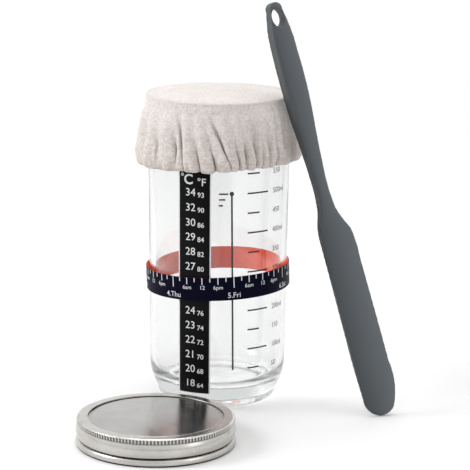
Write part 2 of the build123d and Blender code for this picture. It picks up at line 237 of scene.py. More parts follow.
def shares(steps):
    """From nought to one in even steps, with both ends."""
    return [step / steps for step in range(steps + 1)]


def toned(colour, share, lift=0.0):
    """A colour made darker or paler."""
    return [min(1.0, share * part + lift) for part in colour]


def node_in(tree, kind, inputs=None, **settings):
    """A node in a tree, its settings set, its inputs joined to sockets or given values."""
    node = tree.nodes.new(kind)
    for name, value in settings.items():
        setattr(node, name, value)
    for key, value in (inputs or {}).items():
        if isinstance(value, bpy.types.NodeSocket):
            tree.links.new(value, node.inputs[key])
        else:
            node.inputs[key].default_value = value
    return node


def add(tree, kind, inputs=None, **settings):
    """The first result of a new node."""
    return node_in(tree, kind, inputs, **settings).outputs[0]


def maths(tree, operation, *values):
    """A Math node's result."""
    return add(tree, "ShaderNodeMath", dict(enumerate(values)), operation=operation)


def plus(tree, total, *others):
    """Several values added up."""
    for other in others:
        total = maths(tree, "ADD", total, other)
    return total


def times(tree, total, *others):
    """Several values multiplied."""
    for other in others:
        total = maths(tree, "MULTIPLY", total, other)
    return total


def parts_of(tree, vector):
    """The three parts of a vector."""
    return node_in(tree, "ShaderNodeSeparateXYZ", {0: vector}).outputs


def vector_of(tree, *parts):
    """A vector made of three parts."""
    return add(tree, "ShaderNodeCombineXYZ", dict(enumerate(parts)))


def tint(tree, factor, first, second):
    """A colour between two, by a factor."""
    ends = {0: factor, 6: (*first, 1), 7: (*second, 1)}
    return node_in(tree, "ShaderNodeMix", ends, data_type="RGBA").outputs[2]


def tint_value(tree, factor, first, second):
    """A number between two, by a factor."""
    return add(tree, "ShaderNodeMix", {0: factor, 2: first, 3: second}, data_type="FLOAT")


def spread(tree, value, low, high, start=0.3, end=0.7, smooth=False):
    """A value's range from start to end stretched over another, eased at both ends if smooth."""
    ranges = {0: value, 1: start, 2: end, 3: low, 4: high}
    kind = "SMOOTHSTEP" if smooth else "LINEAR"
    return add(tree, "ShaderNodeMapRange", ranges, interpolation_type=kind)


def cloud(tree, vector, scale, detail, roughness=0.5):
    """Fractal noise at a vector."""
    return add(
        tree, "ShaderNodeTexNoise",
        {"Vector": vector, "Scale": scale, "Detail": detail, "Roughness": roughness},
    )


def grain(tree, place, scale, detail=3.0, stretch=(1, 1, 1)):
    """Fractal noise on the object's own coordinates."""
    spot = add(tree, "ShaderNodeMapping", {"Vector": place["Object"], "Scale": stretch})
    return cloud(tree, spot, scale, detail)


def material(name, inputs, paint):
    """A Principled material; paint returns sockets for its colour, roughness and bump height."""
    made = bpy.data.materials.new(name)
    made.use_nodes = True
    tree = made.node_tree
    shader = tree.nodes["Principled BSDF"]
    for key, value in inputs.items():
        shader.inputs[key].default_value = value
    found = paint(tree, node_in(tree, "ShaderNodeTexCoord").outputs)
    for key, socket in (("colour", "Base Color"), ("roughness", "Roughness")):
        if key in found:
            tree.links.new(found[key], shader.inputs[socket])
    if "height" in found:
        bump = add(
            tree, "ShaderNodeBump",
            {"Height": found["height"], "Distance": found["depth"], "Strength": found["strength"]},
        )
        tree.links.new(bump, shader.inputs["Normal"])
    return made


# Glass
GLASS_SURFACE = (0.942, 0.945, 0.943, 1)
GLASS_IOR = 1.5
GLASS_DENSITY = 9.0
FOOT_HAZE = 0.14
FOOT_HAZE_SPAN = (12.0 * MM, 24.0 * MM)
SMEAR_ROUGHNESS = 0.035


def glass_material(colour):
    """Clear glass that darkens with its depth, with faint waves, smears and a hazy foot."""
    def paint(tree, place):
        smears = spread(tree, grain(tree, place, scale=160.0), 0.0, SMEAR_ROUGHNESS)
        height = parts_of(tree, place["Object"])[2]
        haze = spread(tree, height, FOOT_HAZE, 0.0, *FOOT_HAZE_SPAN, smooth=True)
        return {
            "height": grain(tree, place, scale=26.0, detail=2.0, stretch=(1, 1, 0.35)),
            "depth": 0.35 * MM, "strength": 0.5,
            "roughness": plus(tree, haze, smears),
        }

    surface = {"Base Color": GLASS_SURFACE, "Transmission Weight": 1.0, "IOR": GLASS_IOR}
    made = material("clear_glass", surface, paint)
    tree = made.node_tree
    depth = add(tree, "ShaderNodeVolumeAbsorption", {"Color": (*colour, 1), "Density": GLASS_DENSITY})
    tree.links.new(depth, tree.nodes["Material Output"].inputs["Volume"])
    return made


def ink_material(name, colour, gloss=0.45):
    """Printed ink with fine specks, a little paler and duller in places."""
    def paint(tree, place):
        specks = grain(tree, place, scale=2600.0, detail=2.0)
        paler = toned(colour, 0.86, lift=0.01)
        return {
            "colour": tint(tree, spread(tree, specks, 0.0, 1.0), colour, paler),
            "roughness": spread(tree, specks, gloss - 0.06, gloss + 0.1),
        }

    return material(name, {}, paint)


def strip_material(colour):
    """Black printed film with a faint ripple."""
    def paint(tree, place):
        return {
            "height": grain(tree, place, scale=220.0, detail=2.0), "depth": 0.04 * MM, "strength": 0.4,
            "roughness": spread(tree, grain(tree, place, scale=900.0), 0.22, 0.36),
        }

    return material("thermometer_black", {"Base Color": (*colour, 1), "Specular IOR Level": 0.08}, paint)


BROAD_SHARE = 0.7
BLOTCHES = 0.07


def silicone_material(name, colour, rough, lift=0.25, shine=0.4, sides=None):
    """Matt moulded silicone with a fine grain and a dusty bloom.

    Where sides is given, it paints shade towards the left edge and light towards the right edge of the
    piece's own map.
    """
    def paint(tree, place):
        fine = grain(tree, place, scale=3200.0, detail=2.0)
        broad = grain(tree, place, scale=45.0, detail=4.0)
        mix = plus(tree, times(tree, broad, BROAD_SHARE), times(tree, fine, 1 - BROAD_SHARE))
        if sides:
            darker, paler = (toned(colour, share) for share in sides)
            across = parts_of(tree, place["UV"])[0]
            tone = plus(tree, across, spread(tree, mix, -BLOTCHES, BLOTCHES))
        else:
            darker, paler = colour, toned(colour, 1 + lift)
            tone = spread(tree, mix, 0.0, 1.0)
        return {
            "colour": tint(tree, tone, darker, paler),
            "roughness": spread(tree, broad, rough - 0.05, rough + 0.08),
            "height": fine, "depth": 0.03 * MM, "strength": 0.5,
        }

    return material(name, {"Specular IOR Level": shine}, paint)


# Linen
THREAD_WANDER = 0.9 * MM
SLUB_ACROSS = 2.2
SLUB_ALONG = 0.06
SLUBS_APART = 7.0
SLUB_STAND = 0.9
NUB_STAND = 3.2
WEAVE_DEPTH = 0.26 * MM
# Painted shade: the cloth gets darker towards the bottom of its side, between these heights in metres.
LOW_SIDE_PAINTED_SHADE = 0.44
LOW_SIDE_SHADE_SPAN = (0.149, 0.176)


def linen_material(colour, slub, pitch):
    """Plain weave: two sets of threads, each with its own slubs, on the cloth's own map in metres, with
    painted shade darkening the side towards the hem.
    """
    def paint(tree, place):
        parts = parts_of(tree, place["UV"])
        wander = maths(tree, "SUBTRACT", cloud(tree, place["UV"], scale=300.0, detail=1.0), 0.5)
        shift = times(tree, wander, THREAD_WANDER)
        threads = []
        slubs = []
        for axis, other in ((0, 1), (1, 0)):
            along = plus(tree, parts[axis], shift)
            threads.append(maths(tree, "SINE", times(tree, along, TAU / pitch)))
            across = vector_of(
                tree, times(tree, parts[axis], SLUB_ACROSS / pitch),
                times(tree, parts[other], SLUB_ALONG / pitch), SLUBS_APART * axis,
            )
            slubs.append(cloud(tree, across, scale=1.0, detail=2.0))
        weave = times(tree, maths(tree, "MAXIMUM", *threads), 0.5)
        slubbed = maths(tree, "MAXIMUM", *slubs)
        mottle = cloud(tree, place["UV"], scale=90.0, detail=4.0)
        nubs = cloud(tree, place["UV"], scale=620.0, detail=3.0, roughness=0.62)
        height = parts_of(tree, place["Object"])[2]
        dark = plus(
            tree,
            spread(tree, slubbed, -0.15, 0.45, start=0.5, end=0.72),
            spread(tree, mottle, 0.0, 0.3),
            spread(tree, nubs, -0.35, 0.4, start=0.35, end=0.65),
            # Painted shade, darker towards the bottom of the side
            spread(tree, height, LOW_SIDE_PAINTED_SHADE, 0.0, *LOW_SIDE_SHADE_SPAN),
            spread(tree, weave, 0.35, 0.0, start=-0.5, end=0.1),
        )
        return {
            "colour": tint(tree, dark, colour, slub),
            "height": plus(
                tree, weave, times(tree, slubbed, SLUB_STAND), times(tree, nubs, NUB_STAND)
            ),
            "depth": WEAVE_DEPTH, "strength": 0.8,
        }

    return material(
        "linen",
        {"Roughness": 0.95, "Specular IOR Level": 0.15, "Sheen Weight": 0.25, "Sheen Roughness": 0.6},
        paint,
    )


def tin_material(name, colour, rough, brush, scratch):
    """Rolled tinplate: a brushed grain that runs one way, and faint scratches."""
    def paint(tree, place):
        lines = grain(tree, place, scale=900.0, stretch=brush)
        broad = grain(tree, place, scale=60.0)
        return {
            "colour": tint(tree, spread(tree, broad, 0.0, 1.0), toned(colour, 0.82), colour),
            "roughness": plus(
                tree, spread(tree, lines, rough - 0.04, rough + 0.05), spread(tree, broad, 0.0, 0.05)
            ),
            "height": lines, "depth": scratch, "strength": 0.3,
        }

    return material(name, {"Metallic": 1.0}, paint)


def plain_sheet_material(name, colour, rough):
    """White film or elastic: a soft mottle on a matt ground."""
    def paint(tree, place):
        mottle = grain(tree, place, scale=500.0)
        return {
            "colour": tint(tree, spread(tree, mottle, 0.0, 1.0), toned(colour, 0.88), colour),
            "roughness": spread(tree, mottle, rough - 0.05, rough + 0.05),
        }

    return material(name, {}, paint)


def new_object(name, data):
    """An object in the scene, at the origin."""
    made = bpy.data.objects.new(name, data)
    bpy.context.scene.collection.objects.link(made)
    return made


def plain_mesh(drawn):
    """The mesh that an object makes with its modifiers, or a text with its thickness."""
    return bpy.data.meshes.new_from_object(drawn.evaluated_get(bpy.context.evaluated_depsgraph_get()))


def dress(node, finish):
    """Give a solid that stays in view its material."""
    nodes[node].data.materials.clear()
    nodes[node].data.materials.append(finish)


def piece_of(name, mesh, body, slot, *replaced):
    """A finished piece that rides on a body."""
    piece = new_object(name, mesh)
    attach(piece, body)
    if replaced:
        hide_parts(*replaced)
    return piece


def mesh_of(name, points, faces, finish, sharp=35.0):
    """A mesh from points and faces, its doubles merged, its faces turned out and shaded smooth."""
    mesh = bpy.data.meshes.new(name)
    mesh.from_pydata([tuple(p) for p in points], [], faces)
    form = bmesh.new()
    form.from_mesh(mesh)
    bmesh.ops.remove_doubles(form, verts=form.verts, dist=MERGE)
    bmesh.ops.recalc_face_normals(form, faces=form.faces)
    form.to_mesh(mesh)
    form.free()
    mesh.shade_smooth()
    mesh.set_sharp_from_angle(angle=math.radians(sharp))
    mesh.materials.append(finish)
    return mesh


def turned(profile, segments, closed=False, centre=(0.0, 0.0), push=None):
    """Points and faces of a profile of (radius, height) turned about an upright axis."""
    points = []
    for step in range(segments):
        turn = TAU * step / segments
        for radius, height in profile:
            reach = radius + (push(turn, radius, height) if push else 0)
            points.append(
                (centre[0] + reach * math.sin(turn), centre[1] - reach * math.cos(turn), height)
            )
    count = len(profile)
    faces = []
    for step in range(segments):
        here = step * count
        there = (step + 1) % segments * count
        for row in range(count if closed else count - 1):
            up = (row + 1) % count
            corners = (here + row, there + row, there + up, here + up)
            if profile[row][0] < MERGE:
                corners = (here + row, there + up, here + up)
            elif profile[up][0] < MERGE:
                corners = (here + row, there + row, here + up)
            faces.append(corners)
    return points, faces


def tube(rings):
    """Points and faces of rings of points joined one after another, closed at both ends."""
    count = len(rings[0])
    last = (len(rings) - 1) * count
    faces = [tuple(range(count)), tuple(last + i for i in reversed(range(count)))]
    for here in range(0, last, count):
        for row in range(count):
            up = (row + 1) % count
            faces.append((here + row, here + count + row, here + count + up, here + up))
    return [point for ring in rings for point in ring], faces


def together(forms):
    """Several forms of points and faces as one."""
    points = []
    faces = []
    for more, sides in forms:
        faces += [tuple(len(points) + i for i in side) for side in sides]
        points += more
    return points, faces


def arc(centre, radius, start, end, steps):
    """Points of an arc, its angles in degrees from outwards, turning up."""
    points = []
    for share in shares(steps):
        turn = math.radians(start + (end - start) * share)
        points.append((centre[0] + radius * math.cos(turn), centre[1] + radius * math.sin(turn)))
    return points


def softened(points, radius, steps):
    """A run of points with each inner corner rounded."""
    path = [points[0]]
    for index in range(1, len(points) - 1):
        corner = Vector(points[index])
        before = Vector(points[index - 1]) - corner
        after = Vector(points[index + 1]) - corner
        longest = CORNER_SHARE * min(before.length, after.length)
        back = min(radius / math.tan(before.angle(after) / 2), longest)
        first = corner + before.normalized() * back
        last = corner + after.normalized() * back
        path += [
            tuple(first.lerp(corner, share).lerp(corner.lerp(last, share), share))
            for share in shares(steps)
        ]
    path.append(points[-1])
    return path


def evenly(start, end, steps, eased=False):
    """Points from one place towards another, without the last; if eased, the radius follows an S."""
    path = []
    for share in shares(steps)[:-1]:
        across = smooth_step(share) if eased else share
        path.append((
            start[0] + (end[0] - start[0]) * across, start[1] + (end[1] - start[1]) * share
        ))
    return path


def bow(start, end, stand, steps):
    """Points of a side that bows out between two heights."""
    return [
        (start[0] + (end[0] - start[0]) * share + stand * math.sin(math.pi * share),
         start[1] + (end[1] - start[1]) * share)
        for share in shares(steps)
    ]


# Jar shapes that the solids also have
BASE_RING_RADIUS = 34.8 * MM
BASE_RING_HEIGHT = 4.6 * MM
BASE_RING_BULGE = 0.6 * MM
BEARING_OUTER = 33.2 * MM
BEARING_INNER = 29.0 * MM
PUSH_UP = 3.6 * MM
FLOOR_HEIGHT = 11.5 * MM
FLOOR_CORNER = 10.0 * MM
SHOULDER_DROP = 4.0 * MM
NECK_RADIUS = 39.6 * MM
FINISH_RADIUS = 40.3 * MM
MOUTH_RADIUS = 36.6 * MM
RIM_ROUNDING = 1.4 * MM
JAR_HEIGHT = 179.5 * MM
COLLAR_HEIGHT = 157.0 * MM
COLLAR_WIDTH = 3.0 * MM
COLLAR_STAND = 0.9 * MM
THREAD_START = 163.5 * MM
THREAD_PITCH = 6.3 * MM
THREAD_RISE = 8.2 * MM
THREAD_STAND = 1.85 * MM
THREAD_WIDTH = 3.2 * MM
THREAD_ENDS = 14
THREAD_POWER = 2.6
THREAD_ZONE_TOP = 175.0 * MM
THREAD_ZONE_FOOT = 0.1 * MM
NECK_END = 0.3 * MM
CORNER_STEP = 1 * MM
STIPPLE_COUNT = 44
STIPPLE_DEPTH = 0.22 * MM
STIPPLE_ZONE = (0.4 * MM, 4.4 * MM)
JAR_SEGMENTS = 264


def heel_arc(jar):
    """Radius of the heel's arc and the radius at which its centre lies."""
    inset = jar.lower_radius - BASE_RING_RADIUS
    drop = jar.heel_height - BASE_RING_HEIGHT
    reach = (drop**2 + inset**2) / (2 * inset)
    return reach, jar.lower_radius - reach


def side_radius(jar, height):
    """Outside radius of the jar at a height, on the straight side or round the heel."""
    if height >= jar.heel_height:
        rise = (height - jar.heel_height) / (jar.shoulder_height - jar.heel_height)
        return jar.lower_radius + rise * (jar.upper_radius - jar.lower_radius)
    reach, centre = heel_arc(jar)
    return centre + math.sqrt(reach**2 - (jar.heel_height - height) ** 2)


def on_jar(jar, angle, height, stand):
    """A point that stands off the jar's side, at an angle from the front."""
    radius = side_radius(jar, height) + stand
    return Vector((radius * math.sin(angle), -radius * math.cos(angle), height))


def jar_profile(jar):
    """The jar's section, from the middle of its underside round to the middle of its floor."""
    neck_height = jar.shoulder_height + SHOULDER_DROP
    rim_height = JAR_HEIGHT - RIM_ROUNDING
    corner_height = FLOOR_HEIGHT + FLOOR_CORNER
    inner_upper = jar.upper_radius - jar.wall
    inner_lower = jar.lower_radius - jar.wall
    path = [(BEARING_INNER * share, PUSH_UP * (1 - share**8)) for share in shares(14)[:-1]]
    path += evenly((BEARING_INNER, 0), (BEARING_OUTER, 0), 3)
    path += [
        (BEARING_OUTER + (BASE_RING_RADIUS - BEARING_OUTER) * share**0.5
         + BASE_RING_BULGE * math.sin(math.pi * share), BASE_RING_HEIGHT * share)
        for share in shares(8)
    ]
    for share in shares(16)[1:-1]:
        height = BASE_RING_HEIGHT + (jar.heel_height - BASE_RING_HEIGHT) * share
        path.append((side_radius(jar, height), height))
    path += evenly((jar.lower_radius, jar.heel_height), (jar.upper_radius, jar.shoulder_height), 40)
    path += evenly((jar.upper_radius, jar.shoulder_height), (NECK_RADIUS, neck_height), 8, eased=True)
    path += evenly((NECK_RADIUS, neck_height), (NECK_RADIUS, COLLAR_HEIGHT - NECK_END), 3)
    path += bow(
        (FINISH_RADIUS, COLLAR_HEIGHT), (FINISH_RADIUS, COLLAR_HEIGHT + COLLAR_WIDTH), COLLAR_STAND, 10
    )
    thread_foot = COLLAR_HEIGHT + COLLAR_WIDTH + THREAD_ZONE_FOOT
    path += evenly((FINISH_RADIUS, thread_foot), (FINISH_RADIUS, THREAD_ZONE_TOP), 44)
    path.append((FINISH_RADIUS, THREAD_ZONE_TOP))
    path += arc((FINISH_RADIUS - RIM_ROUNDING, rim_height), RIM_ROUNDING, 0, 90, 6)
    path += arc((MOUTH_RADIUS + RIM_ROUNDING, rim_height), RIM_ROUNDING, 90, 180, 6)
    path += evenly((MOUTH_RADIUS, rim_height - CORNER_STEP), (MOUTH_RADIUS, neck_height), 6)
    path += evenly((MOUTH_RADIUS, neck_height), (inner_upper, jar.shoulder_height), 8, eased=True)
    path += evenly((inner_upper, jar.shoulder_height), (inner_lower, corner_height), 24)
    path += arc((inner_lower - FLOOR_CORNER, corner_height), FLOOR_CORNER, 0, -90, 12)
    path += evenly((inner_lower - FLOOR_CORNER - CORNER_STEP, FLOOR_HEIGHT), (0, FLOOR_HEIGHT), 8)
    path.append((0, FLOOR_HEIGHT))
    return path


def jar_relief(turn, radius, height):
    """How far the screw thread and the stippled foot stand out of the turned shape."""
    if height > COLLAR_HEIGHT + COLLAR_WIDTH and radius > FINISH_RADIUS - 0.01 * MM:
        stand = 0.0
        for lap in range(-1, 3):
            share = (turn / TAU + lap) * THREAD_PITCH / THREAD_RISE
            if 0 <= share <= 1:
                off = abs(height - THREAD_START - THREAD_RISE * share) / (THREAD_WIDTH / 2)
                ends = min(1.0, THREAD_ENDS * share, THREAD_ENDS * (1 - share))
                stand = max(stand, THREAD_STAND * ends * max(0.0, 1 - off**THREAD_POWER))
        return stand
    if STIPPLE_ZONE[0] < height < STIPPLE_ZONE[1] and radius > BEARING_OUTER:
        fade = math.sin(math.pi * height / BASE_RING_HEIGHT)
        return -STIPPLE_DEPTH * fade * (0.5 + 0.5 * math.cos(STIPPLE_COUNT * turn))
    return 0.0


class STARTERJAR_OT_glass(Operator):
    """Make the glass jar with its thread, collar, heel and stippled foot"""

    bl_idname = "starterjar.glass"
    bl_label = "Glass jar"

    def execute(self, context):
        jar = context.scene.starter_jar
        finish = glass_material(jar.glass_colour)
        points, faces = turned(jar_profile(jar), JAR_SEGMENTS, push=jar_relief)
        mesh = mesh_of("jar_glass", points, faces, finish, sharp=50.0)
        jar_piece = piece_of("jar_glass", mesh, "jar", "clear_glass", "glass_jar")
        jar_piece.visible_shadow = False
        return {"FINISHED"}


# Printed marks
FIRST_MARK = 24.8 * MM
MARK_WIDTH = 0.92 * MM
MARK_TWIST = math.radians(-0.27)
FIRST_TWIST = math.radians(1.6)
MARK_LEFT = math.radians(25.0)
SHORT_MARK_RIGHT = math.radians(36.0)
LONG_MARK_RIGHT = math.radians(44.6)
MARK_STEPS = 20
PRINT_STAND = 0.03 * MM
PRINT_DEPTH = 0.05 * MM
WORD_CUT = 1.1 * MM
NUMBER_ANGLE = math.radians(50.5)
NUMBER_SIZE = 4.4 * MM
NUMBER_DROP = 0.2 * MM
VOLUME_STEP = 50
DASH_LEFT = math.radians(0.7)
DASH_HEIGHTS = (128.9 * MM, 125.6 * MM, 122.2 * MM)
DASH_SHARES = (1.0, 0.7, 0.45)
DASH_ANGLE = math.radians(7.4)
DASH_STEPS = 6
LINE_ANGLE = math.radians(11.0)
LINE_TWIST = math.radians(2.6)
LINE_WIDTH = 1.05 * MM
LINE_TOP = 129.0 * MM
LINE_BOTTOM = 24.3 * MM
LINE_STEPS = 40
DOT_RADIUS = 1.3 * MM
DOT_STEPS = 24


def geometry_tree(name, *sizes):
    """An empty Geometry Nodes tree, and its inputs: a count, named sizes and a material."""
    tree = bpy.data.node_groups.new(name, "GeometryNodeTree")
    kinds = {
        "Count": "NodeSocketInt", **dict.fromkeys(sizes, "NodeSocketFloat"),
        "Material": "NodeSocketMaterial",
    }
    for key, kind in kinds.items():
        tree.interface.new_socket(name=key, in_out="INPUT", socket_type=kind)
    tree.interface.new_socket(name="Geometry", in_out="OUTPUT", socket_type="NodeSocketGeometry")
    return tree, node_in(tree, "NodeGroupInput").outputs


def finish_tree(tree, get, geometry):
    """Close a tree with real instances and its material."""
    real = add(tree, "GeometryNodeRealizeInstances", {0: geometry})
    dressed = add(tree, "GeometryNodeSetMaterial", {0: real, "Material": get["Material"]})
    node_in(tree, "NodeGroupOutput", {0: dressed})
    return tree


def set_round(tree, ring, shape, stretch, height):
    """A shape set on each point of a ring, turned outwards, stretched, and all lifted to a height."""
    place = add(tree, "GeometryNodeInputPosition")
    facing = add(tree, "FunctionNodeAlignRotationToVector", {"Vector": place}, axis="X")
    shapes = add(
        tree, "GeometryNodeInstanceOnPoints",
        {"Points": ring, "Instance": shape, "Rotation": facing, "Scale": stretch},
    )
    lift = vector_of(tree, 0.0, 0.0, height)
    return add(tree, "GeometryNodeTransform", {"Geometry": shapes, "Translation": lift})


def grown(name, tree, values):
    """The plain mesh that a tree makes from named values."""
    seed = new_object(name, bpy.data.meshes.new(name))
    modifier = seed.modifiers.new(name, "NODES")
    modifier.node_group = tree
    for item in tree.interface.items_tree:
        if item.item_type == "SOCKET" and item.in_out == "INPUT":
            modifier[item.identifier] = values[item.name]
    seed.update_tag()
    mesh = plain_mesh(seed)
    bpy.data.objects.remove(seed)
    mesh.name = name
    return mesh


def stroke_tree():
    """Level strokes up a leaning side: every second one is longer."""
    tree, get = geometry_tree(
        "volume_strokes", "Pitch", "First Height", "Radius", "Lean", "Width", "Depth", "Left Angle",
        "Short Sweep", "Long Sweep", "Twist",
    )
    bar = add(tree, "GeometryNodeCurvePrimitiveQuadrilateral", {0: get["Depth"], 1: get["Width"]})
    strokes = []
    for sweep in ("Short Sweep", "Long Sweep"):
        curve = add(tree, "GeometryNodeCurveArc", {
            "Resolution": MARK_STEPS, "Radius": get["Radius"], "Start Angle": get["Left Angle"],
            "Sweep Angle": get[sweep],
        })
        strokes.append(add(tree, "GeometryNodeCurveToMesh", {0: curve, 1: bar, "Fill Caps": True}))
    both = node_in(tree, "GeometryNodeGeometryToInstance", {0: strokes[1]})
    tree.links.new(strokes[0], both.inputs[0])
    line = add(tree, "GeometryNodeMeshLine", {
        "Count": get["Count"], "Start Location": vector_of(tree, 0.0, 0.0, get["First Height"]),
        "Offset": vector_of(tree, 0.0, 0.0, get["Pitch"]),
    })
    index = add(tree, "GeometryNodeInputIndex")
    rise = times(tree, index, get["Pitch"], get["Lean"])
    growth = plus(tree, maths(tree, "DIVIDE", rise, get["Radius"]), 1.0)
    turn = add(
        tree, "FunctionNodeAxisAngleToRotation", {0: (0, 0, 1), 1: times(tree, index, get["Twist"])}
    )
    marks = add(tree, "GeometryNodeInstanceOnPoints", {
        "Points": line, "Instance": both.outputs[0], "Pick Instance": True,
        "Instance Index": maths(tree, "MODULO", index, 2.0), "Rotation": turn,
        "Scale": vector_of(tree, growth, growth, 1.0),
    })
    return finish_tree(tree, get, marks)


def word_form(text, size, align, boldness):
    """A short flat word, cut finely enough to bend."""
    curve = bpy.data.curves.new("words", "FONT")
    curve.body = text
    curve.size = size
    curve.align_x = align
    curve.align_y = "CENTER"
    curve.extrude = PRINT_DEPTH / 2
    curve.offset = boldness * size
    curve.resolution_u = 3
    drawn = new_object("words", curve)
    mesh = plain_mesh(drawn)
    form = bmesh.new()
    form.from_mesh(mesh)
    bpy.data.objects.remove(drawn)
    bpy.data.curves.remove(curve)
    bpy.data.meshes.remove(mesh)
    for axis in (0, 1):
        spots = [v.co[axis] for v in form.verts]
        facing = Vector((0, 0, 0))
        facing[axis] = 1
        for cut in range(1, int((max(spots) - min(spots)) / WORD_CUT) + 1):
            spot = facing * (min(spots) + cut * WORD_CUT)
            everything = form.verts[:] + form.edges[:] + form.faces[:]
            bmesh.ops.bisect_plane(form, geom=everything, plane_co=spot, plane_no=facing)
    form.verts.index_update()
    return form


def word_mesh(name, words, place, finish):
    """One mesh of many short words, each put in place point by point."""
    forms = []
    for text, size, align, boldness, where in words:
        form = word_form(text, size, align, boldness)
        forms.append((
            [place(where, v.co) for v in form.verts],
            [tuple(v.index for v in f.verts) for f in form.faces],
        ))
        form.free()
    return mesh_of(name, *together(forms), finish, sharp=30.0)


def dash_form(jar, middle, share):
    """A short stroke beside the feeding line."""
    rings = []
    for along in shares(DASH_STEPS):
        angle = DASH_LEFT + DASH_ANGLE * share * along
        rings.append([
            on_jar(jar, angle, middle + height * MARK_WIDTH / 2, PRINT_STAND + stand * PRINT_DEPTH)
            for height, stand in ((-1, 0), (1, 0), (1, 1), (-1, 1))
        ])
    return tube(rings)


def feeding_line_form(jar):
    """The upright line with a dot at its top."""
    outline = []
    half = math.asin(LINE_WIDTH / 2 / DOT_RADIUS)
    for share in shares(DOT_STEPS):
        turn = -math.pi / 2 + half + (TAU - 2 * half) * share
        outline.append((DOT_RADIUS * math.cos(turn), LINE_TOP + DOT_RADIUS * math.sin(turn)))
    top = LINE_TOP - DOT_RADIUS
    rows = [top + (LINE_BOTTOM - top) * share for share in shares(LINE_STEPS)[1:]]
    outline += [(-LINE_WIDTH / 2, height) for height in rows]
    outline += [(LINE_WIDTH / 2, height) for height in reversed(rows)]
    points = []
    for stand in (PRINT_STAND, PRINT_STAND + PRINT_DEPTH):
        for across, height in outline:
            lean = LINE_TWIST * (LINE_TOP - height) / (LINE_TOP - LINE_BOTTOM)
            angle = LINE_ANGLE + lean + across / jar.upper_radius
            points.append(on_jar(jar, angle, height, stand))
    count = len(outline)
    left = [DOT_STEPS + i for i in range(LINE_STEPS + 1)]
    right = [0] + [count - 1 - i for i in range(LINE_STEPS)]
    sheets = [tuple(range(DOT_STEPS + 1))]
    sheets += [(left[i], left[i + 1], right[i + 1], right[i]) for i in range(LINE_STEPS)]
    faces = sheets + [tuple(count + i for i in reversed(face)) for face in sheets]
    faces += [(i, (i + 1) % count, count + (i + 1) % count, count + i) for i in range(count)]
    return points, faces


class STARTERJAR_OT_marks(Operator):
    """Print the volume marks, their numbers and the feeding line on the glass"""

    bl_idname = "starterjar.marks"
    bl_label = "Printed marks"

    def execute(self, context):
        jar = context.scene.starter_jar
        ink = ink_material("black_ink", jar.ink_colour)
        lean = (jar.upper_radius - jar.lower_radius) / (jar.shoulder_height - jar.heel_height)
        strokes = grown("volume_strokes", stroke_tree(), {
            "Count": jar.mark_count, "Pitch": jar.mark_pitch, "First Height": FIRST_MARK,
            "Radius": side_radius(jar, FIRST_MARK) + PRINT_STAND + PRINT_DEPTH / 2, "Lean": lean,
            "Width": MARK_WIDTH, "Depth": PRINT_DEPTH, "Left Angle": MARK_LEFT + FIRST_TWIST - QUARTER,
            "Twist": MARK_TWIST, "Short Sweep": SHORT_MARK_RIGHT - MARK_LEFT,
            "Long Sweep": LONG_MARK_RIGHT - MARK_LEFT, "Material": ink,
        })
        piece_of("volume_strokes", strokes, "jar", "black_ink", "volume_marks")

        def on_side(index, spot):
            height = FIRST_MARK + index * jar.mark_pitch - NUMBER_DROP
            angle = NUMBER_ANGLE + FIRST_TWIST + index * MARK_TWIST + spot.x / side_radius(jar, height)
            return on_jar(jar, angle, height + spot.y, PRINT_STAND + PRINT_DEPTH / 2 + spot.z)

        numbers = []
        for index in range(jar.mark_count):
            unit = "ml" if index % 2 else ""
            numbers.append((f"{VOLUME_STEP * (index + 1)}{unit}", NUMBER_SIZE, "LEFT", 0.0, index))
        mesh = word_mesh("volume_numbers", numbers, on_side, ink)
        piece_of("volume_numbers", mesh, "jar", "black_ink")

        dashes = [dash_form(jar, *dash) for dash in zip(DASH_HEIGHTS, DASH_SHARES)]
        mesh = mesh_of("feeding_dashes", *together(dashes), ink)
        piece_of("feeding_dashes", mesh, "jar", "black_ink")
        mesh = mesh_of("feeding_line_print", *feeding_line_form(jar), ink)
        piece_of("feeding_line_print", mesh, "jar", "black_ink", "feeding_line")
        return {"FINISHED"}


# Strip thermometer
FILM_INNER = 0.12 * MM
FILM_OUTER = 0.34 * MM
FILM_LIP = 0.08 * MM
FILM_MARGIN = math.radians(1.1)
TOP_MARGIN_SHARE = 0.15
BACKING_INNER = 0.02 * MM
BACKING_OUTER = 0.12 * MM
STRIP_ACROSS = 24
STRIP_UP = 90
WHITE_FILM = (0.86, 0.86, 0.86)
DEGREE = "\N{DEGREE SIGN}"
LETTER_HEIGHT = 136.3 * MM
TEMPERATURES = (
    (34, 93, 129.4 * MM), (32, 90, 120.6 * MM), (30, 86, 111.8 * MM), (29, 84, 103.3 * MM),
    (28, 82, 94.7 * MM), (27, 80, 85.9 * MM), (26, 79, 76.0 * MM), (25, 77, 69.6 * MM),
    (24, 76, 59.7 * MM), (23, 74, 50.9 * MM), (22, 72, 42.2 * MM), (21, 70, 33.4 * MM),
    (20, 68, 24.7 * MM), (18, 64, 15.8 * MM),
)
CELSIUS_SIZE = 6.4 * MM
CELSIUS_DROP = 0.2 * MM
CELSIUS_ANGLE = math.radians(-17.8)
FAHRENHEIT_SIZE = 4.1 * MM
FAHRENHEIT_DROP = 1.5 * MM
FAHRENHEIT_BOLDNESS = 0.008
FAHRENHEIT_ANGLE = math.radians(-16.4)


def strip_angle(jar, angle, height):
    """The strip can't shrink, so it keeps its distance from the middle where the heel narrows."""
    wide = side_radius(jar, max(height, jar.heel_height))
    return math.asin(math.sin(angle) * wide / side_radius(jar, height))


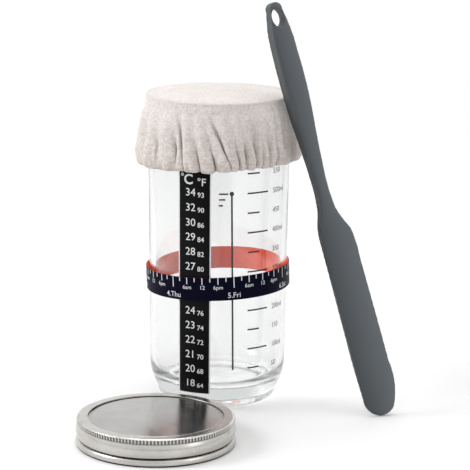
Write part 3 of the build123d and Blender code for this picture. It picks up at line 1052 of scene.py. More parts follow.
def strip_mesh(jar, name, left, right, low, high, inner, outer, finish, lip=0.0):
    """A thin sheet that follows the jar's side and heel, with a softened edge."""
    points = []
    for stand in (inner, outer):
        for row in range(STRIP_UP + 1):
            height = low + (high - low) * row / STRIP_UP
            for step in range(STRIP_ACROSS + 1):
                edge = step in (0, STRIP_ACROSS) or row in (0, STRIP_UP)
                angle = strip_angle(jar, left + (right - left) * step / STRIP_ACROSS, height)
                drop = lip if edge and stand == outer else 0
                points.append(on_jar(jar, angle, height, stand - drop))
    width = STRIP_ACROSS + 1
    sheet = width * (STRIP_UP + 1)
    faces = []
    for row in range(STRIP_UP):
        for step in range(STRIP_ACROSS):
            corner = row * width + step
            quad = (corner, corner + 1, corner + width + 1, corner + width)
            faces.append(quad[::-1])
            faces.append(tuple(sheet + i for i in quad))
    rim = [(0, i) for i in range(STRIP_ACROSS)] + [(i, STRIP_ACROSS) for i in range(STRIP_UP)]
    rim += [(STRIP_UP, i) for i in range(STRIP_ACROSS, 0, -1)] + [(i, 0) for i in range(STRIP_UP, 0, -1)]
    ring = [row * width + step for row, step in rim]
    for here, there in zip(ring, ring[1:] + ring[:1]):
        faces.append((here, there, sheet + there, sheet + here))
    return mesh_of(name, points, faces, finish, sharp=60.0)


class STARTERJAR_OT_thermometer(Operator):
    """Stick the strip thermometer on the jar and print its two scales"""

    bl_idname = "starterjar.thermometer"
    bl_label = "Strip thermometer"

    def execute(self, context):
        jar = context.scene.starter_jar
        strip = context.scene.starter_thermometer
        black = strip_material(strip.strip_colour)
        white = plain_sheet_material("adhesive_film", WHITE_FILM, rough=0.5)
        numeral = ink_material("thermometer_numerals", strip.numeral_colour, gloss=0.35)
        backing = strip_mesh(
            jar, "thermometer_backing", strip.left_angle, strip.right_angle, strip.bottom, strip.top,
            BACKING_INNER, BACKING_OUTER, white,
        )
        piece_of("thermometer_backing", backing, "jar", "adhesive_film", "thermometer_adhesive")
        film_top = strip.top - TOP_MARGIN_SHARE * FILM_MARGIN * jar.upper_radius
        film = strip_mesh(
            jar, "thermometer_strip", strip.left_angle + FILM_MARGIN, strip.right_angle - FILM_MARGIN,
            strip.bottom, film_top, FILM_INNER, FILM_OUTER, black, lip=FILM_LIP,
        )
        piece_of(
            "thermometer_strip", film, "jar", "thermometer_black", "thermometer_film",
            "thermometer_cells",
        )

        def on_strip(where, spot):
            angle, height = where
            turned_by = strip_angle(jar, angle + spot.x / jar.upper_radius, height + spot.y)
            return on_jar(jar, turned_by, height + spot.y, FILM_OUTER + PRINT_DEPTH / 2 + spot.z)

        words = [
            ("C", 8.2 * MM, "RIGHT", 0.02,
             (CELSIUS_ANGLE - math.radians(2.2), LETTER_HEIGHT + 0.3 * MM)),
            (DEGREE, 6.4 * MM, "LEFT", 0.01,
             (strip.left_angle + math.radians(2.0), LETTER_HEIGHT + 1.2 * MM)),
            (DEGREE + "F", 6.2 * MM, "LEFT", FAHRENHEIT_BOLDNESS,
             (FAHRENHEIT_ANGLE - math.radians(0.4), LETTER_HEIGHT - 1.0 * MM)),
        ]
        for celsius, fahrenheit, height in TEMPERATURES:
            words += [
                (str(celsius), CELSIUS_SIZE, "RIGHT", 0.0, (CELSIUS_ANGLE, height - CELSIUS_DROP)),
                (str(fahrenheit), FAHRENHEIT_SIZE, "LEFT", FAHRENHEIT_BOLDNESS,
                 (FAHRENHEIT_ANGLE, height - FAHRENHEIT_DROP)),
            ]
        mesh = word_mesh("thermometer_numerals", words, on_strip, numeral)
        piece_of("thermometer_numerals", mesh, "jar", "thermometer_black")
        return {"FINISHED"}


# Tracking band
DAY_COUNT = 7
STEPS_A_DAY = 8
FRIDAY = 4
FRIDAY_ANGLE = math.radians(13.4)
DAY_PITCH = math.radians(50.2)
DAY_NAMES = ("Mon", "Tue", "Wed", "Thu", "Fri", "Sat", "Sun")
DAY_SIZE = 4.4 * MM
DAY_HEIGHT = -4.0 * MM
DAY_BOLDNESS = 0.002
HOUR_NAMES = {2: "6am", 4: "12", 6: "6pm"}
HOUR_SIZE = 3.3 * MM
HOUR_HEIGHT = 0.9 * MM
HOUR_BOLDNESS = 0.003
LONG_TICK = 6.2 * MM
MIDDLE_TICK = 3.9 * MM
SHORT_TICK = 2.4 * MM
TICK_WIDTH = 0.55 * MM
TICK_EDGE = 0.15 * MM
SEAM_ANGLE = math.radians(132.0)
SEAM_WIDTH = 0.6 * MM
BAND_SEGMENTS = 256
SKIN_ROUNDING = 0.12 * MM
LINING_ROUNDING = 0.08 * MM
LINING_CLEARANCE = 0.01 * MM
LINING_INSET = 0.05 * MM


def tick_tree():
    """Ticks that hang from a ring, longer at every second step and longest at each day."""
    tree, get = geometry_tree(
        "dial_ticks", "Sweep", "Radius", "Height", "Width", "Depth", "Short", "Middle", "Long"
    )
    size = vector_of(tree, get["Depth"], get["Width"], 1.0)
    block = add(tree, "GeometryNodeMeshCube", {"Size": size})
    hung = add(tree, "GeometryNodeTransform", {"Geometry": block, "Translation": (0, 0, -0.5)})
    ring = add(tree, "GeometryNodeCurveArc", {
        "Resolution": get["Count"], "Radius": get["Radius"], "Start Angle": 0.0,
        "Sweep Angle": get["Sweep"],
    })
    index = add(tree, "GeometryNodeInputIndex")
    second = maths(tree, "COMPARE", maths(tree, "MODULO", index, 2.0), 0.0, 0.1)
    day = maths(tree, "COMPARE", maths(tree, "MODULO", index, float(STEPS_A_DAY)), 0.0, 0.1)
    length = plus(
        tree, get["Short"],
        times(tree, second, maths(tree, "SUBTRACT", get["Middle"], get["Short"])),
        times(tree, day, maths(tree, "SUBTRACT", get["Long"], get["Middle"])),
    )
    stretch = vector_of(tree, 1.0, 1.0, length)
    return finish_tree(tree, get, set_round(tree, ring, hung, stretch, get["Height"]))


def ring_section(inner, outer, half, rounding):
    """A thin upright section with softened corners, closed."""
    middle = ((inner + outer) / 2, -half)
    corners = [middle, (outer, -half), (outer, half), (inner, half), (inner, -half), middle]
    return softened(corners, rounding, 3)[:-1]


class STARTERJAR_OT_band(Operator):
    """Wrap the two-colour tracking band round the jar and print its week dial"""

    bl_idname = "starterjar.band"
    bl_label = "Tracking band"

    def execute(self, context):
        band = context.scene.starter_band
        navy = silicone_material("navy_print", band.outside_colour, rough=0.42, lift=0.35, shine=0.03)
        coral = silicone_material("coral_lining", band.inside_colour, rough=0.55, lift=0.10, shine=0.12)
        dial = ink_material("dial_print", band.print_colour)
        place = Matrix.Translation((0, 0, BAND_MIDDLE)) @ Matrix.Rotation(-band.tilt, 4, "Y")
        half = band.height / 2
        middle = band.inner_radius + band.lining
        outer = middle + band.skin

        section = ring_section(middle, outer, half, SKIN_ROUNDING)
        skin = mesh_of("band_outside", *turned(section, BAND_SEGMENTS, closed=True), navy)
        skin.transform(place)
        piece_of("band_outside", skin, "band_ring", "navy_print", "tracking_band")

        gap = SEAM_WIDTH / 2 / band.inner_radius
        section = ring_section(
            band.inner_radius, middle - LINING_CLEARANCE, half - LINING_INSET, LINING_ROUNDING
        )
        rings = []
        for share in shares(BAND_SEGMENTS):
            turn = SEAM_ANGLE + gap + (TAU - 2 * gap) * share
            rings.append([(r * math.sin(turn), -r * math.cos(turn), z) for r, z in section])
        lining = mesh_of("band_inside", *tube(rings), coral)
        lining.transform(place)
        piece_of("band_inside", lining, "band_slider", "coral_lining", "band_lining")

        ticks = grown("dial_ticks", tick_tree(), {
            "Count": DAY_COUNT * STEPS_A_DAY + 1, "Sweep": DAY_COUNT * DAY_PITCH,
            "Radius": outer + PRINT_DEPTH / 2, "Height": half - TICK_EDGE,
            "Width": TICK_WIDTH, "Depth": PRINT_DEPTH, "Short": SHORT_TICK, "Middle": MIDDLE_TICK,
            "Long": LONG_TICK, "Material": dial,
        })
        first_day = FRIDAY_ANGLE - 3 * DAY_PITCH
        ticks.transform(place @ Matrix.Rotation(first_day - QUARTER, 4, "Z"))
        piece_of("dial_ticks", ticks, "band_ring", "navy_print")

        def on_band(where, spot):
            angle, height = where
            turned_by = angle + spot.x / outer
            reach = outer + PRINT_DEPTH / 2 + spot.z
            return place @ Vector((
                reach * math.sin(turned_by), -reach * math.cos(turned_by), height + spot.y
            ))

        words = []
        for day in range(DAY_COUNT):
            number = (FRIDAY + day) % DAY_COUNT
            angle = FRIDAY_ANGLE + DAY_PITCH * ((day + 3) % DAY_COUNT - 3)
            name = f"{number + 1}.{DAY_NAMES[number]}"
            words.append((name, DAY_SIZE, "CENTER", DAY_BOLDNESS, (angle, DAY_HEIGHT)))
            for step, hour in HOUR_NAMES.items():
                hour_angle = angle + DAY_PITCH * step / STEPS_A_DAY
                words.append((hour, HOUR_SIZE, "CENTER", HOUR_BOLDNESS, (hour_angle, HOUR_HEIGHT)))
        mesh = word_mesh("dial_words", words, on_band, dial)
        piece_of("dial_words", mesh, "band_ring", "navy_print")
        return {"FINISHED"}


# Cloth cover: rows of (path share, radius, height, fold depth), in millimetres
COVER_ROWS = (
    (0.000, 0.0, 183.2, 0.0), (0.120, 14.0, 183.0, 0.02), (0.250, 27.0, 182.5, 0.06),
    (0.345, 36.5, 181.7, 0.12), (0.395, 41.0, 180.2, 0.25), (0.430, 43.5, 177.4, 0.42),
    (0.480, 45.1, 172.0, 0.80), (0.550, 46.0, 165.5, 1.30), (0.630, 46.8, 158.0, 2.20),
    (0.700, 47.5, 151.5, 3.50), (0.750, 47.7, 147.2, 4.10), (0.790, 47.2, 144.2, 3.90),
    (0.825, 46.1, 142.7, 3.10), (0.860, 44.5, 142.3, 2.00), (0.895, 43.1, 143.4, 0.80),
    (0.930, 42.5, 145.8, 0.25), (1.000, 42.5, 150.2, 0.10),
)
# Creases: share of a turn to the right, slant, depth, width, and the height where it fades
CREASES = (
    (-0.2350, 0.0, 3.4, 1.8, 158.0), (-0.1860, 0.1, 6.0, 1.0, 157.0), (-0.1410, 0.2, 6.4, 1.0, 159.0),
    (-0.0900, -0.3, 6.4, 1.0, 163.0), (-0.0710, -1.2, 9.0, 1.1, 180.0), (-0.0360, -1.2, 1.6, 1.4, 155.0),
    (-0.0050, -1.4, 2.6, 1.4, 156.0), (0.0210, -2.3, 9.0, 1.1, 173.0), (0.0440, -1.2, 3.4, 1.2, 157.0),
    (0.0600, -1.0, 3.2, 1.2, 163.0), (0.0800, -0.6, 3.2, 1.2, 176.0), (0.0950, -0.4, 3.2, 1.2, 157.0),
    (0.1120, -0.3, 3.2, 1.2, 170.0), (0.1290, 0.0, 3.4, 1.2, 158.0), (0.1490, -0.2, 6.4, 1.0, 168.0),
    (0.1770, 0.3, 3.6, 1.6, 160.0), (0.2060, -0.2, 3.4, 1.8, 160.0),
    (0.2400, 0.3, 2.6, 2.0, 168.0), (0.2790, -0.6, 3.4, 2.2, 162.0), (0.3120, 0.2, 2.8, 2.0, 158.0),
    (0.3510, 0.8, 3.6, 2.1, 167.0), (0.3920, -0.6, 2.8, 2.0, 160.0), (0.4250, 0.4, 3.2, 2.1, 157.0),
    (0.4680, -1.2, 4.0, 2.0, 169.0), (0.5060, 0.5, 2.6, 2.1, 158.0), (0.5410, 1.0, 3.2, 2.0, 164.0),
    (0.5860, -0.8, 4.0, 2.1, 167.0), (0.6270, 0.5, 2.8, 2.0, 157.0), (0.6610, -0.6, 3.4, 2.0, 166.0),
    (0.7040, 0.8, 2.8, 2.1, 159.0), (0.7360, -0.8, 3.6, 2.0, 168.0),
)
# Grid of the cloth, the sizes of its map, and how wide it was cut
COVER_ACROSS = 420
COVER_DOWN = 106
ROW_POWER = 0.9
TOP_MAP_TO = 0.38
FRONT_CLOSER = 0.48
CLOTH_RADIUS = 46.0 * MM
CLOTH_LENGTH = 92.0 * MM
# Folds, in millimetres and shares of a turn
DRIFT_FROM = 145.0
CREASE_DRIFT = 0.0006
CREASE_REACH = 4
CREASE_MARGIN = 6
CREASE_FADE = 16
CREASE_DEPTH = 1.1
CREASE_POWER = 1.6
WIDENING_HEIGHT = 30
OPEN_WIDENING = 1.2
LAPPED_WIDENING = 0.3
OVERLAP_FROM = 5.5
OVERLAP = 2.3
OVERLAP_BEFORE = 1.9
OVERLAP_WIDTH = 1.1
SHARP_BELOW = 164.0
SHARP_FADE = 18
PUFF_POWER = 1.6
PUFF_SHARPER = 1.05
PUFF_MEAN = 0.62
PINCH = 0.66
PINCHED_DEPTH = 3.0
SWELL_RANGE = (0.75, 1.25)
HANG_RANGE = (-0.7, 0.9)
GATHER_COUNT = 84
FRONT_GATHERS = (0.040, 0.150)
FRONT_GATHER_COUNT = 22
FRONT_WANDER = (-0.3, 0.3)
GATHER_DEPTHS = (0.5, 1.5)
GATHER_TOPS = (148.0, 157.0)
GATHER_WIDTHS = (0.45, 0.9)
GATHER_SLANTS = (-1.5, 1.5)
GATHER_FADE = 7
GATHER_DEPTH = 0.9
# Parts of the way from the middle to the hem: where each begins, and over how much it comes in
SKIRT = (0.33, 0.08)
TUCK = (0.86, 0.06)
EDGE_START = (0.20, 0.18)
LATE_START = (0.39, 0.04)
EDGE_STOP = (0.43, 0.15)
FOLDS_FROM = 0.3
LEAN_FROM = 0.4
DROOP_FROM = 0.6
SKIRT_TO = 0.84
# Softer top edge on the left, the spatula's place and the hem, in millimetres and shares of a turn
SOFT_LEFT = -0.36
SOFT_FADE = 0.10
SOFT_DROP = (0.2, 1.5)
SOFT_INSET = 1.2
SPATULA_SHARE = 0.172
SPATULA_WIDTH = 0.05
SPATULA_ABOVE = (158, 8)
OUT_MOST = 4.2
SPATULA_ROOM = 4.0
UNEVEN_BROAD = (4.2, 0.07, 0.9)
UNEVEN_FINE = (13, 0.25, 0.4)
SAG_SCALE = 0.06
SAG_BROAD = 0.5
SAG_FINE = 0.22
HEM_TILT = math.radians(2.2)
HEM_TILT_TOP = 160.0
HEM_TILT_FADE = 16
HANG_MEAN = 0.5
DROOP_TOP = 149.0
DROOP_FADE = 6
TUCKED_DROOP = 0.6
SKIRT_INNER = 42.85
ELASTIC_HEIGHT = 148.0
ELASTIC_STAND = 1.0
ELASTIC_REACH = (1.2, 1.4)
ELASTIC_INNER = 42.98
ELASTIC_OUTER = 43.34
ELASTIC_HALF = 2.0
ELASTIC_ROUNDING = 0.1
ELASTIC_SEGMENTS = 128
ELASTIC_COLOUR = (0.72, 0.70, 0.66)


def row_values(share):
    """Radius, height and fold depth at a share of the way from the middle to the hem."""
    for index in range(len(COVER_ROWS) - 1):
        low, high = COVER_ROWS[index], COVER_ROWS[index + 1]
        if share <= high[0]:
            t = (share - low[0]) / (high[0] - low[0])
            before = COVER_ROWS[max(index - 1, 0)]
            after = COVER_ROWS[min(index + 2, len(COVER_ROWS) - 1)]
            return [
                b * (2 * t**3 - 3 * t**2 + 1) + c * (3 * t**2 - 2 * t**3)
                + (c - a) / 2 * (t**3 - 2 * t**2 + t) + (d - b) / 2 * (t**3 - t**2)
                for a, b, c, d in zip(before[1:], low[1:], high[1:], after[1:])
            ]
    return list(COVER_ROWS[-1][1:])


def rise(value, start, span):
    """From nought at a start to one at a span past it."""
    return smooth_step((value - start) / span)


def fall(value, end, span):
    """From one at a span before an end to nought at the end."""
    return smooth_step((end - value) / span)


def wrapped(share):
    """A share of a turn brought to within half a turn of nought."""
    return (share + 0.5) % 1 - 0.5


class FoldField:
    """How far the gathers push the cloth out and sideways, in millimetres."""

    def __init__(self, seed):
        draw = random.Random(seed)
        self.swell = [draw.uniform(*SWELL_RANGE) for _ in CREASES]
        self.hang = [draw.uniform(*HANG_RANGE) for _ in CREASES]
        spots = [draw.uniform(0, 1) for _ in range(GATHER_COUNT)]
        low, high = FRONT_GATHERS
        spots += [
            low + (high - low) * (index + draw.uniform(*FRONT_WANDER)) / FRONT_GATHER_COUNT
            for index in range(FRONT_GATHER_COUNT)
        ]
        self.gathers = [
            (spot, draw.uniform(*GATHER_DEPTHS), draw.uniform(*GATHER_TOPS),
             draw.uniform(*GATHER_WIDTHS), draw.uniform(*GATHER_SLANTS))
            for spot in spots
        ]

    def puff(self, turn, depth, radius, above, sharp):
        """Shifts and hang of the puff between two creases, where a share of a turn lies."""
        for index, (line, slant, *_) in enumerate(CREASES):
            following = CREASES[(index + 1) % len(CREASES)]
            start = line + slant * above
            reach = (following[0] + following[1] * above - start) % 1
            spot = (turn - start) % 1
            if spot < reach:
                part = spot / reach
                wide = math.sqrt(reach * len(CREASES)) * self.swell[index]
                bulge = max(0.0, math.sin(math.pi * part)) ** (PUFF_POWER - PUFF_SHARPER * sharp)
                pinch = PINCH * reach * radius * math.sin(TAU * part)
                pinch *= sharp * min(1.0, depth / PINCHED_DEPTH)
                return depth * wide * (bulge - PUFF_MEAN), -pinch, self.hang[index] + bulge * wide
        return 0.0, 0.0, 0.0

    def shift(self, turn, height, depth, radius):
        """Shifts outward and sideways and the hem's hang, at a share of a turn and a height."""
        above = max(0.0, height - DRIFT_FROM) * CREASE_DRIFT
        around = TAU * radius
        sharp = fall(height, SHARP_BELOW, SHARP_FADE)
        out, side, hang = self.puff(turn, depth, radius, above, sharp)
        for line, slant, deep, width, top in CREASES:
            off = wrapped(turn - line - slant * above) * around
            if abs(off) < CREASE_REACH * width + CREASE_MARGIN:
                fade = fall(height, top, CREASE_FADE)
                lapped = deep > OVERLAP_FROM
                widening = LAPPED_WIDENING if lapped else OPEN_WIDENING
                spreading = width * (1 + widening * above / (CREASE_DRIFT * WIDENING_HEIGHT))
                valley = math.exp(-abs(off / spreading) ** CREASE_POWER)
                out -= CREASE_DEPTH * deep * fade * valley
                if lapped:
                    before = (off / width + OVERLAP_BEFORE) / OVERLAP_WIDTH
                    side += OVERLAP * fade * math.exp(-before**2)
        for spot, deep, top, width, slant in self.gathers:
            off = wrapped(turn - spot - slant * above) * around
            if abs(off) < CREASE_REACH * width:
                fade = fall(height, top, GATHER_FADE)
                out -= GATHER_DEPTH * deep * fade * math.exp(-((off / width) ** 2))
        return out, side, hang


def front_spaced(step):
    """Angle from the front of a step round the cloth, closer together at the front."""
    share = step / COVER_ACROSS - 0.5
    return TAU * share - FRONT_CLOSER * math.sin(TAU * share)


def unevenness(spot, height, across, up, size, offset=0.0):
    """Slow noise round the side, in millimetres."""
    return size * noise.noise(Vector((spot.x * across, spot.y * across, height * up + offset)))


def cover_point(folds, share, angle):
    """Where the cloth lies at a share of the way down and an angle from the front."""
    radius, height, depth = row_values(share)
    spot = Vector((math.sin(angle), -math.cos(angle), 0))
    turn = angle / TAU
    skirt = rise(share, *SKIRT)
    tucked = rise(share, *TUCK)
    soft = rise(turn, SOFT_LEFT, SOFT_FADE) * (1 - rise(turn, 0, SOFT_FADE))
    edge = rise(share, *EDGE_START) * (1 - rise(share, *EDGE_STOP))
    late = rise(share, *LATE_START) * (1 - rise(share, *EDGE_STOP))
    height -= soft * (SOFT_DROP[0] * edge + SOFT_DROP[1] * late)
    radius -= SOFT_INSET * soft * edge
    out = side = hang = 0.0
    if share > FOLDS_FROM:
        out, side, hang = folds.shift(turn, height, depth, radius)
    uneven = unevenness(spot, height, *UNEVEN_BROAD) + unevenness(spot, height, *UNEVEN_FINE, offset=5)
    out = (out + uneven * skirt) * (1 - tucked)
    beside = smooth_step(1 - abs(wrapped(turn - SPATULA_SHARE)) / SPATULA_WIDTH)
    beside *= rise(height, *SPATULA_ABOVE)
    reach = radius + min(out, OUT_MOST - SPATULA_ROOM * beside)
    if skirt > 0.5 and share < SKIRT_TO:
        over_elastic = 1 - rise(abs(height - ELASTIC_HEIGHT), *ELASTIC_REACH)
        reach = max(reach, SKIRT_INNER + ELASTIC_STAND * over_elastic)
    flat = spot * radius * SAG_SCALE
    sag = SAG_BROAD * noise.noise(flat + Vector((0, 0, 3))) + SAG_FINE * noise.noise(flat * 3)
    lift = droop = 0.0
    if share > LEAN_FROM:
        hem = fall(height, HEM_TILT_TOP, HEM_TILT_FADE)
        lift = math.sin(HEM_TILT) * spot.x * radius * hem
    if share > DROOP_FROM:
        droop = (HANG_MEAN - hang) * fall(height, DROOP_TOP, DROOP_FADE) * (1 - TUCKED_DROOP * tucked)
    along = angle + side * (1 - tucked) / max(radius, 1.0)
    return Vector((
        reach * math.sin(along), -reach * math.cos(along), height + sag * (1 - skirt) + lift + droop
    )) * MM


def cover_mesh(cover, finish):
    """One gathered sheet from the crown down over the rim and round into its hem tunnel."""
    folds = FoldField(cover.fold_seed)
    rows = [share**ROW_POWER for share in shares(COVER_DOWN)]
    angles = [front_spaced(step) for step in range(COVER_ACROSS)]
    points = [cover_point(folds, row, angle) for row in rows for angle in angles]
    faces = []
    places = []
    for row in range(COVER_DOWN):
        for step in range(COVER_ACROSS):
            over = (step + 1) % COVER_ACROSS
            corners = [(row, step), (row + 1, step), (row + 1, over), (row, over)]
            if row == 0:
                corners.pop()
            faces.append([r * COVER_ACROSS + s for r, s in corners])
            for r, s in corners:
                if rows[row] < TOP_MAP_TO:
                    places.append(points[r * COVER_ACROSS + s].xy)
                else:
                    turn = angles[s] + (TAU if s == 0 and over == 0 else 0)
                    places.append((turn * CLOTH_RADIUS, rows[r] * CLOTH_LENGTH))
    mesh = bpy.data.meshes.new("cover_cloth")
    mesh.from_pydata([tuple(p) for p in points], [], faces)
    layer = mesh.uv_layers.new(name="cloth_map")
    for index, place in enumerate(places):
        layer.data[index].uv = place
    form = bmesh.new()
    form.from_mesh(mesh)
    bmesh.ops.remove_doubles(form, verts=form.verts, dist=MERGE)
    form.to_mesh(mesh)
    form.free()
    mesh.shade_smooth()
    mesh.materials.append(finish)
    return mesh


def solid_sheet(name, mesh, thickness):
    """The sheet given its thickness inwards."""
    sheet = new_object(name, mesh)
    solid = sheet.modifiers.new("thickness", "SOLIDIFY")
    solid.thickness = thickness
    solid.offset = -1.0
    done = plain_mesh(sheet)
    bpy.data.objects.remove(sheet)
    done.name = name
    return done


class STARTERJAR_OT_cover(Operator):
    """Gather the linen cover over the jar's mouth"""

    bl_idname = "starterjar.cover"
    bl_label = "Cloth cover"

    def execute(self, context):
        cover = context.scene.starter_cover
        linen = linen_material(cover.cloth_colour, cover.slub_colour, cover.thread_pitch)
        mesh = solid_sheet("cover_cloth", cover_mesh(cover, linen), cover.thickness)
        piece = piece_of("cover_cloth", mesh, "cover", "linen", "cloth_cover")
        elastic = plain_sheet_material("elastic", ELASTIC_COLOUR, rough=0.7)
        section = ring_section(ELASTIC_INNER, ELASTIC_OUTER, ELASTIC_HALF, ELASTIC_ROUNDING)
        section = [(r * MM, (z + ELASTIC_HEIGHT) * MM) for r, z in section]
        ring = mesh_of(
            "hem_elastic_ring", *turned(section, ELASTIC_SEGMENTS, closed=True), elastic
        )
        piece_of("hem_elastic_ring", ring, "cover", "elastic", "hem_elastic")
        return {"FINISHED"}


# Lid
LID_OPENING = 37.8 * MM
LID_SIDE = 43.4 * MM
LID_GAUGE = 0.5 * MM
LID_SEGMENTS = 240
FLANGE_ROUND = 1.3 * MM
FLANGE_FLAT = 2.2 * MM
FLANGE_STEP = 0.4 * MM
KNURL_LOW = 12.4 * MM
KNURL_BLEND = 0.5 * MM
KNURL_RADIUS = 0.62 * MM
KNURL_FLATNESS = 0.9
KNURL_INSET = 0.02 * MM
RIDGE_LOW = 12.5 * MM
RIDGE_HIGH = 15.5 * MM
SIDE_DEPTH = 0.15 * MM
BEAD_LOW = 5.0 * MM
BEAD_STAND = 0.9 * MM
GROOVE_LOW = 3.9 * MM
GROOVE_DEPTH = 0.75 * MM
# Painted shade: the groove's bed, the foot's underside and the ground between the knurls take darker
# copies of the tinplate.
GROOVE_BED = (0.45 * MM, 0.85 * MM)
CURL_STAND = 0.75 * MM
CURL_FOOT = 0.2 * MM
FOOT_SHADE_TOP = 1.0 * MM
FOOT_SHADE = 0.08
GROUND_SHADE = 0.30
ROUND_BRUSH = (0.04, 0.04, 1.0)
DISC_BRUSH = (0.05, 1.0, 1.0)
TIN_SCRATCH = 0.03 * MM
DISC_SCRATCH = 0.012 * MM
DISC_PANEL = 36.0 * MM
DISC_GAP = 0.3 * MM
DISC_GAUGE = 0.4 * MM
DISC_RISE = 0.3 * MM
DISC_ROUNDING = 0.4 * MM
DISC_SEGMENTS = 200


def lid_skin(top, inset):
    """The screw band's skin from the flange's edge down to the foot."""
    side = LID_SIDE - inset
    high = top - inset
    edge = side - FLANGE_ROUND
    path = [(LID_OPENING, high), (edge - FLANGE_FLAT - FLANGE_STEP, high)]
    path += bow((edge - FLANGE_FLAT, high), (edge, high), 0.0, 2)
    path += arc((edge, high - FLANGE_ROUND), FLANGE_ROUND, 80, 0, 6)
    path += [(side, KNURL_LOW + KNURL_BLEND), (side, KNURL_LOW)]
    path += bow((side, KNURL_LOW), (side, BEAD_LOW), BEAD_STAND, 12)[1:]
    path += bow((side, BEAD_LOW), (side, GROOVE_LOW), -GROOVE_DEPTH, 6)[1:]
    half = GROOVE_LOW / 2
    for share in shares(12)[1:]:
        turn = math.radians(90 - 180 * share)
        path.append((side + (CURL_STAND + CURL_FOOT) * math.cos(turn), half + half * math.sin(turn)))
    return path


def knurl_tree():
    """Upright ridges round a ring."""
    tree, get = geometry_tree("knurls", "Radius", "Low", "High", "Ridge")
    tall = maths(tree, "SUBTRACT", get["High"], get["Low"])
    centre = times(tree, plus(tree, get["High"], get["Low"]), 0.5)
    ball = add(tree, "GeometryNodeMeshUVSphere", {"Segments": 8, "Rings": 6, "Radius": 1.0})
    stretch = vector_of(
        tree, get["Ridge"], times(tree, get["Ridge"], KNURL_FLATNESS), times(tree, tall, 0.5)
    )
    ring = add(tree, "GeometryNodeMeshCircle", {"Vertices": get["Count"], "Radius": get["Radius"]})
    ridges = set_round(tree, ring, ball, stretch, centre)
    return finish_tree(tree, get, add(tree, "GeometryNodeSetShadeSmooth", {0: ridges}))


def band_finish(face, centre):
    """Which finish a face of the screw band has: bright tinplate, a darker copy as painted shade on the
    ground between the knurls, or a dark copy as painted shadow on the foot and in the groove.
    """
    inset = LID_SIDE - math.hypot(face.center.x - centre[0], face.center.y - centre[1])
    height = face.center.z
    if inset < SIDE_DEPTH and RIDGE_LOW < height < RIDGE_HIGH:
        return 1
    in_foot = inset < 0 and height < FOOT_SHADE_TOP
    in_groove = GROOVE_LOW < height < BEAD_LOW and GROOVE_BED[0] < inset < GROOVE_BED[1]
    return 2 if in_foot or in_groove else 0


class STARTERJAR_OT_lid(Operator):
    """Spin the screw band with its knurls, and the embossed disc"""

    bl_idname = "starterjar.lid"
    bl_label = "Two-piece lid"

    def execute(self, context):
        lid = context.scene.starter_lid
        centre = (LID_CENTRE.x, LID_CENTRE.y)
        top = LID_HIGH.z
        # Bright tinplate, then two darker copies of it: painted shade between the knurls, painted shadow
        # on the foot and in the groove.
        finishes = [
            tin_material(name, toned(lid.metal_colour, share), rough, ROUND_BRUSH, TIN_SCRATCH)
            for name, share, rough in (
                ("tinplate", 1, 0.24), ("knurl_ground_painted_shade", GROUND_SHADE, 0.4),
                ("foot_and_groove_painted_shadow", FOOT_SHADE, 0.5),
            )
        ]
        profile = lid_skin(top, 0) + lid_skin(top, LID_GAUGE)[::-1]
        points, faces = turned(profile, LID_SEGMENTS, closed=True, centre=centre)
        mesh = mesh_of("screw_band_shell", points, faces, finishes[0], sharp=40.0)
        for finish in finishes[1:]:
            mesh.materials.append(finish)
        for face in mesh.polygons:
            face.material_index = band_finish(face, centre)
        piece_of("screw_band_shell", mesh, "lid_ring", "tinplate", "screw_band")
        knurls = grown("screw_band_knurls", knurl_tree(), {
            "Count": lid.knurl_count, "Radius": LID_SIDE - KNURL_INSET, "Low": RIDGE_LOW,
            "High": RIDGE_HIGH, "Ridge": KNURL_RADIUS, "Material": finishes[0],
        })
        knurls.transform(Matrix.Translation((*centre, 0)))
        piece_of("screw_band_knurls", knurls, "lid_ring", "tinplate")

        bright = tin_material("disc_plate", lid.disc_colour, 0.17, DISC_BRUSH, DISC_SCRATCH)
        edge = top - LID_GAUGE - DISC_GAP
        panel = edge + DISC_RISE
        radius = LID_SIDE - LID_GAUGE - DISC_GAP - FLANGE_ROUND
        rim = (radius, edge - DISC_GAUGE / 2)
        corners = [(0, panel), (DISC_PANEL, panel), (DISC_PANEL + DISC_RISE, edge), (radius, edge), rim]
        upper = softened(corners, DISC_ROUNDING, 4)[:-1]
        lower = [(r, z - DISC_GAUGE) for r, z in upper]
        points, faces = turned(upper + [rim] + lower[::-1][1:], DISC_SEGMENTS, centre=centre)
        mesh = mesh_of("lid_plate", points, faces, bright, sharp=40.0)
        piece_of("lid_plate", mesh, "lid", "disc_plate", "lid_disc")
        dress("lid_gasket", silicone_material("gasket", lid.gasket_colour, rough=0.5, lift=0.06))
        return {"FINISHED"}


# Spatula
NECK_HEIGHT = 118.0 * MM
NECK_BLEND = 26.0 * MM
HEAD_HEIGHT = 208.0 * MM
HEAD_BLEND = 10.0 * MM
HEAD_KEEP = 0.88
EVEN_PASSES = 7
ROUND_PASSES = 34
# Painted shade at the spatula's left edge and painted light at its right, as shares of its colour.
SPATULA_SHADE_AND_LIGHT = (0.50, 1.28)
SLICE = 3.0 * MM
SHELL_MERGE = 0.002 * MM
CORE_BRUSH = (1.0, 0.05, 1.0)
CORE_SCRATCH = 0.02 * MM
CORE_COLOUR = (0.5, 0.5, 0.5)


def reach_of(shell):
    """How tall a shell of vertices is."""
    heights = [v.co.z for v in shell]
    return max(heights) - min(heights)


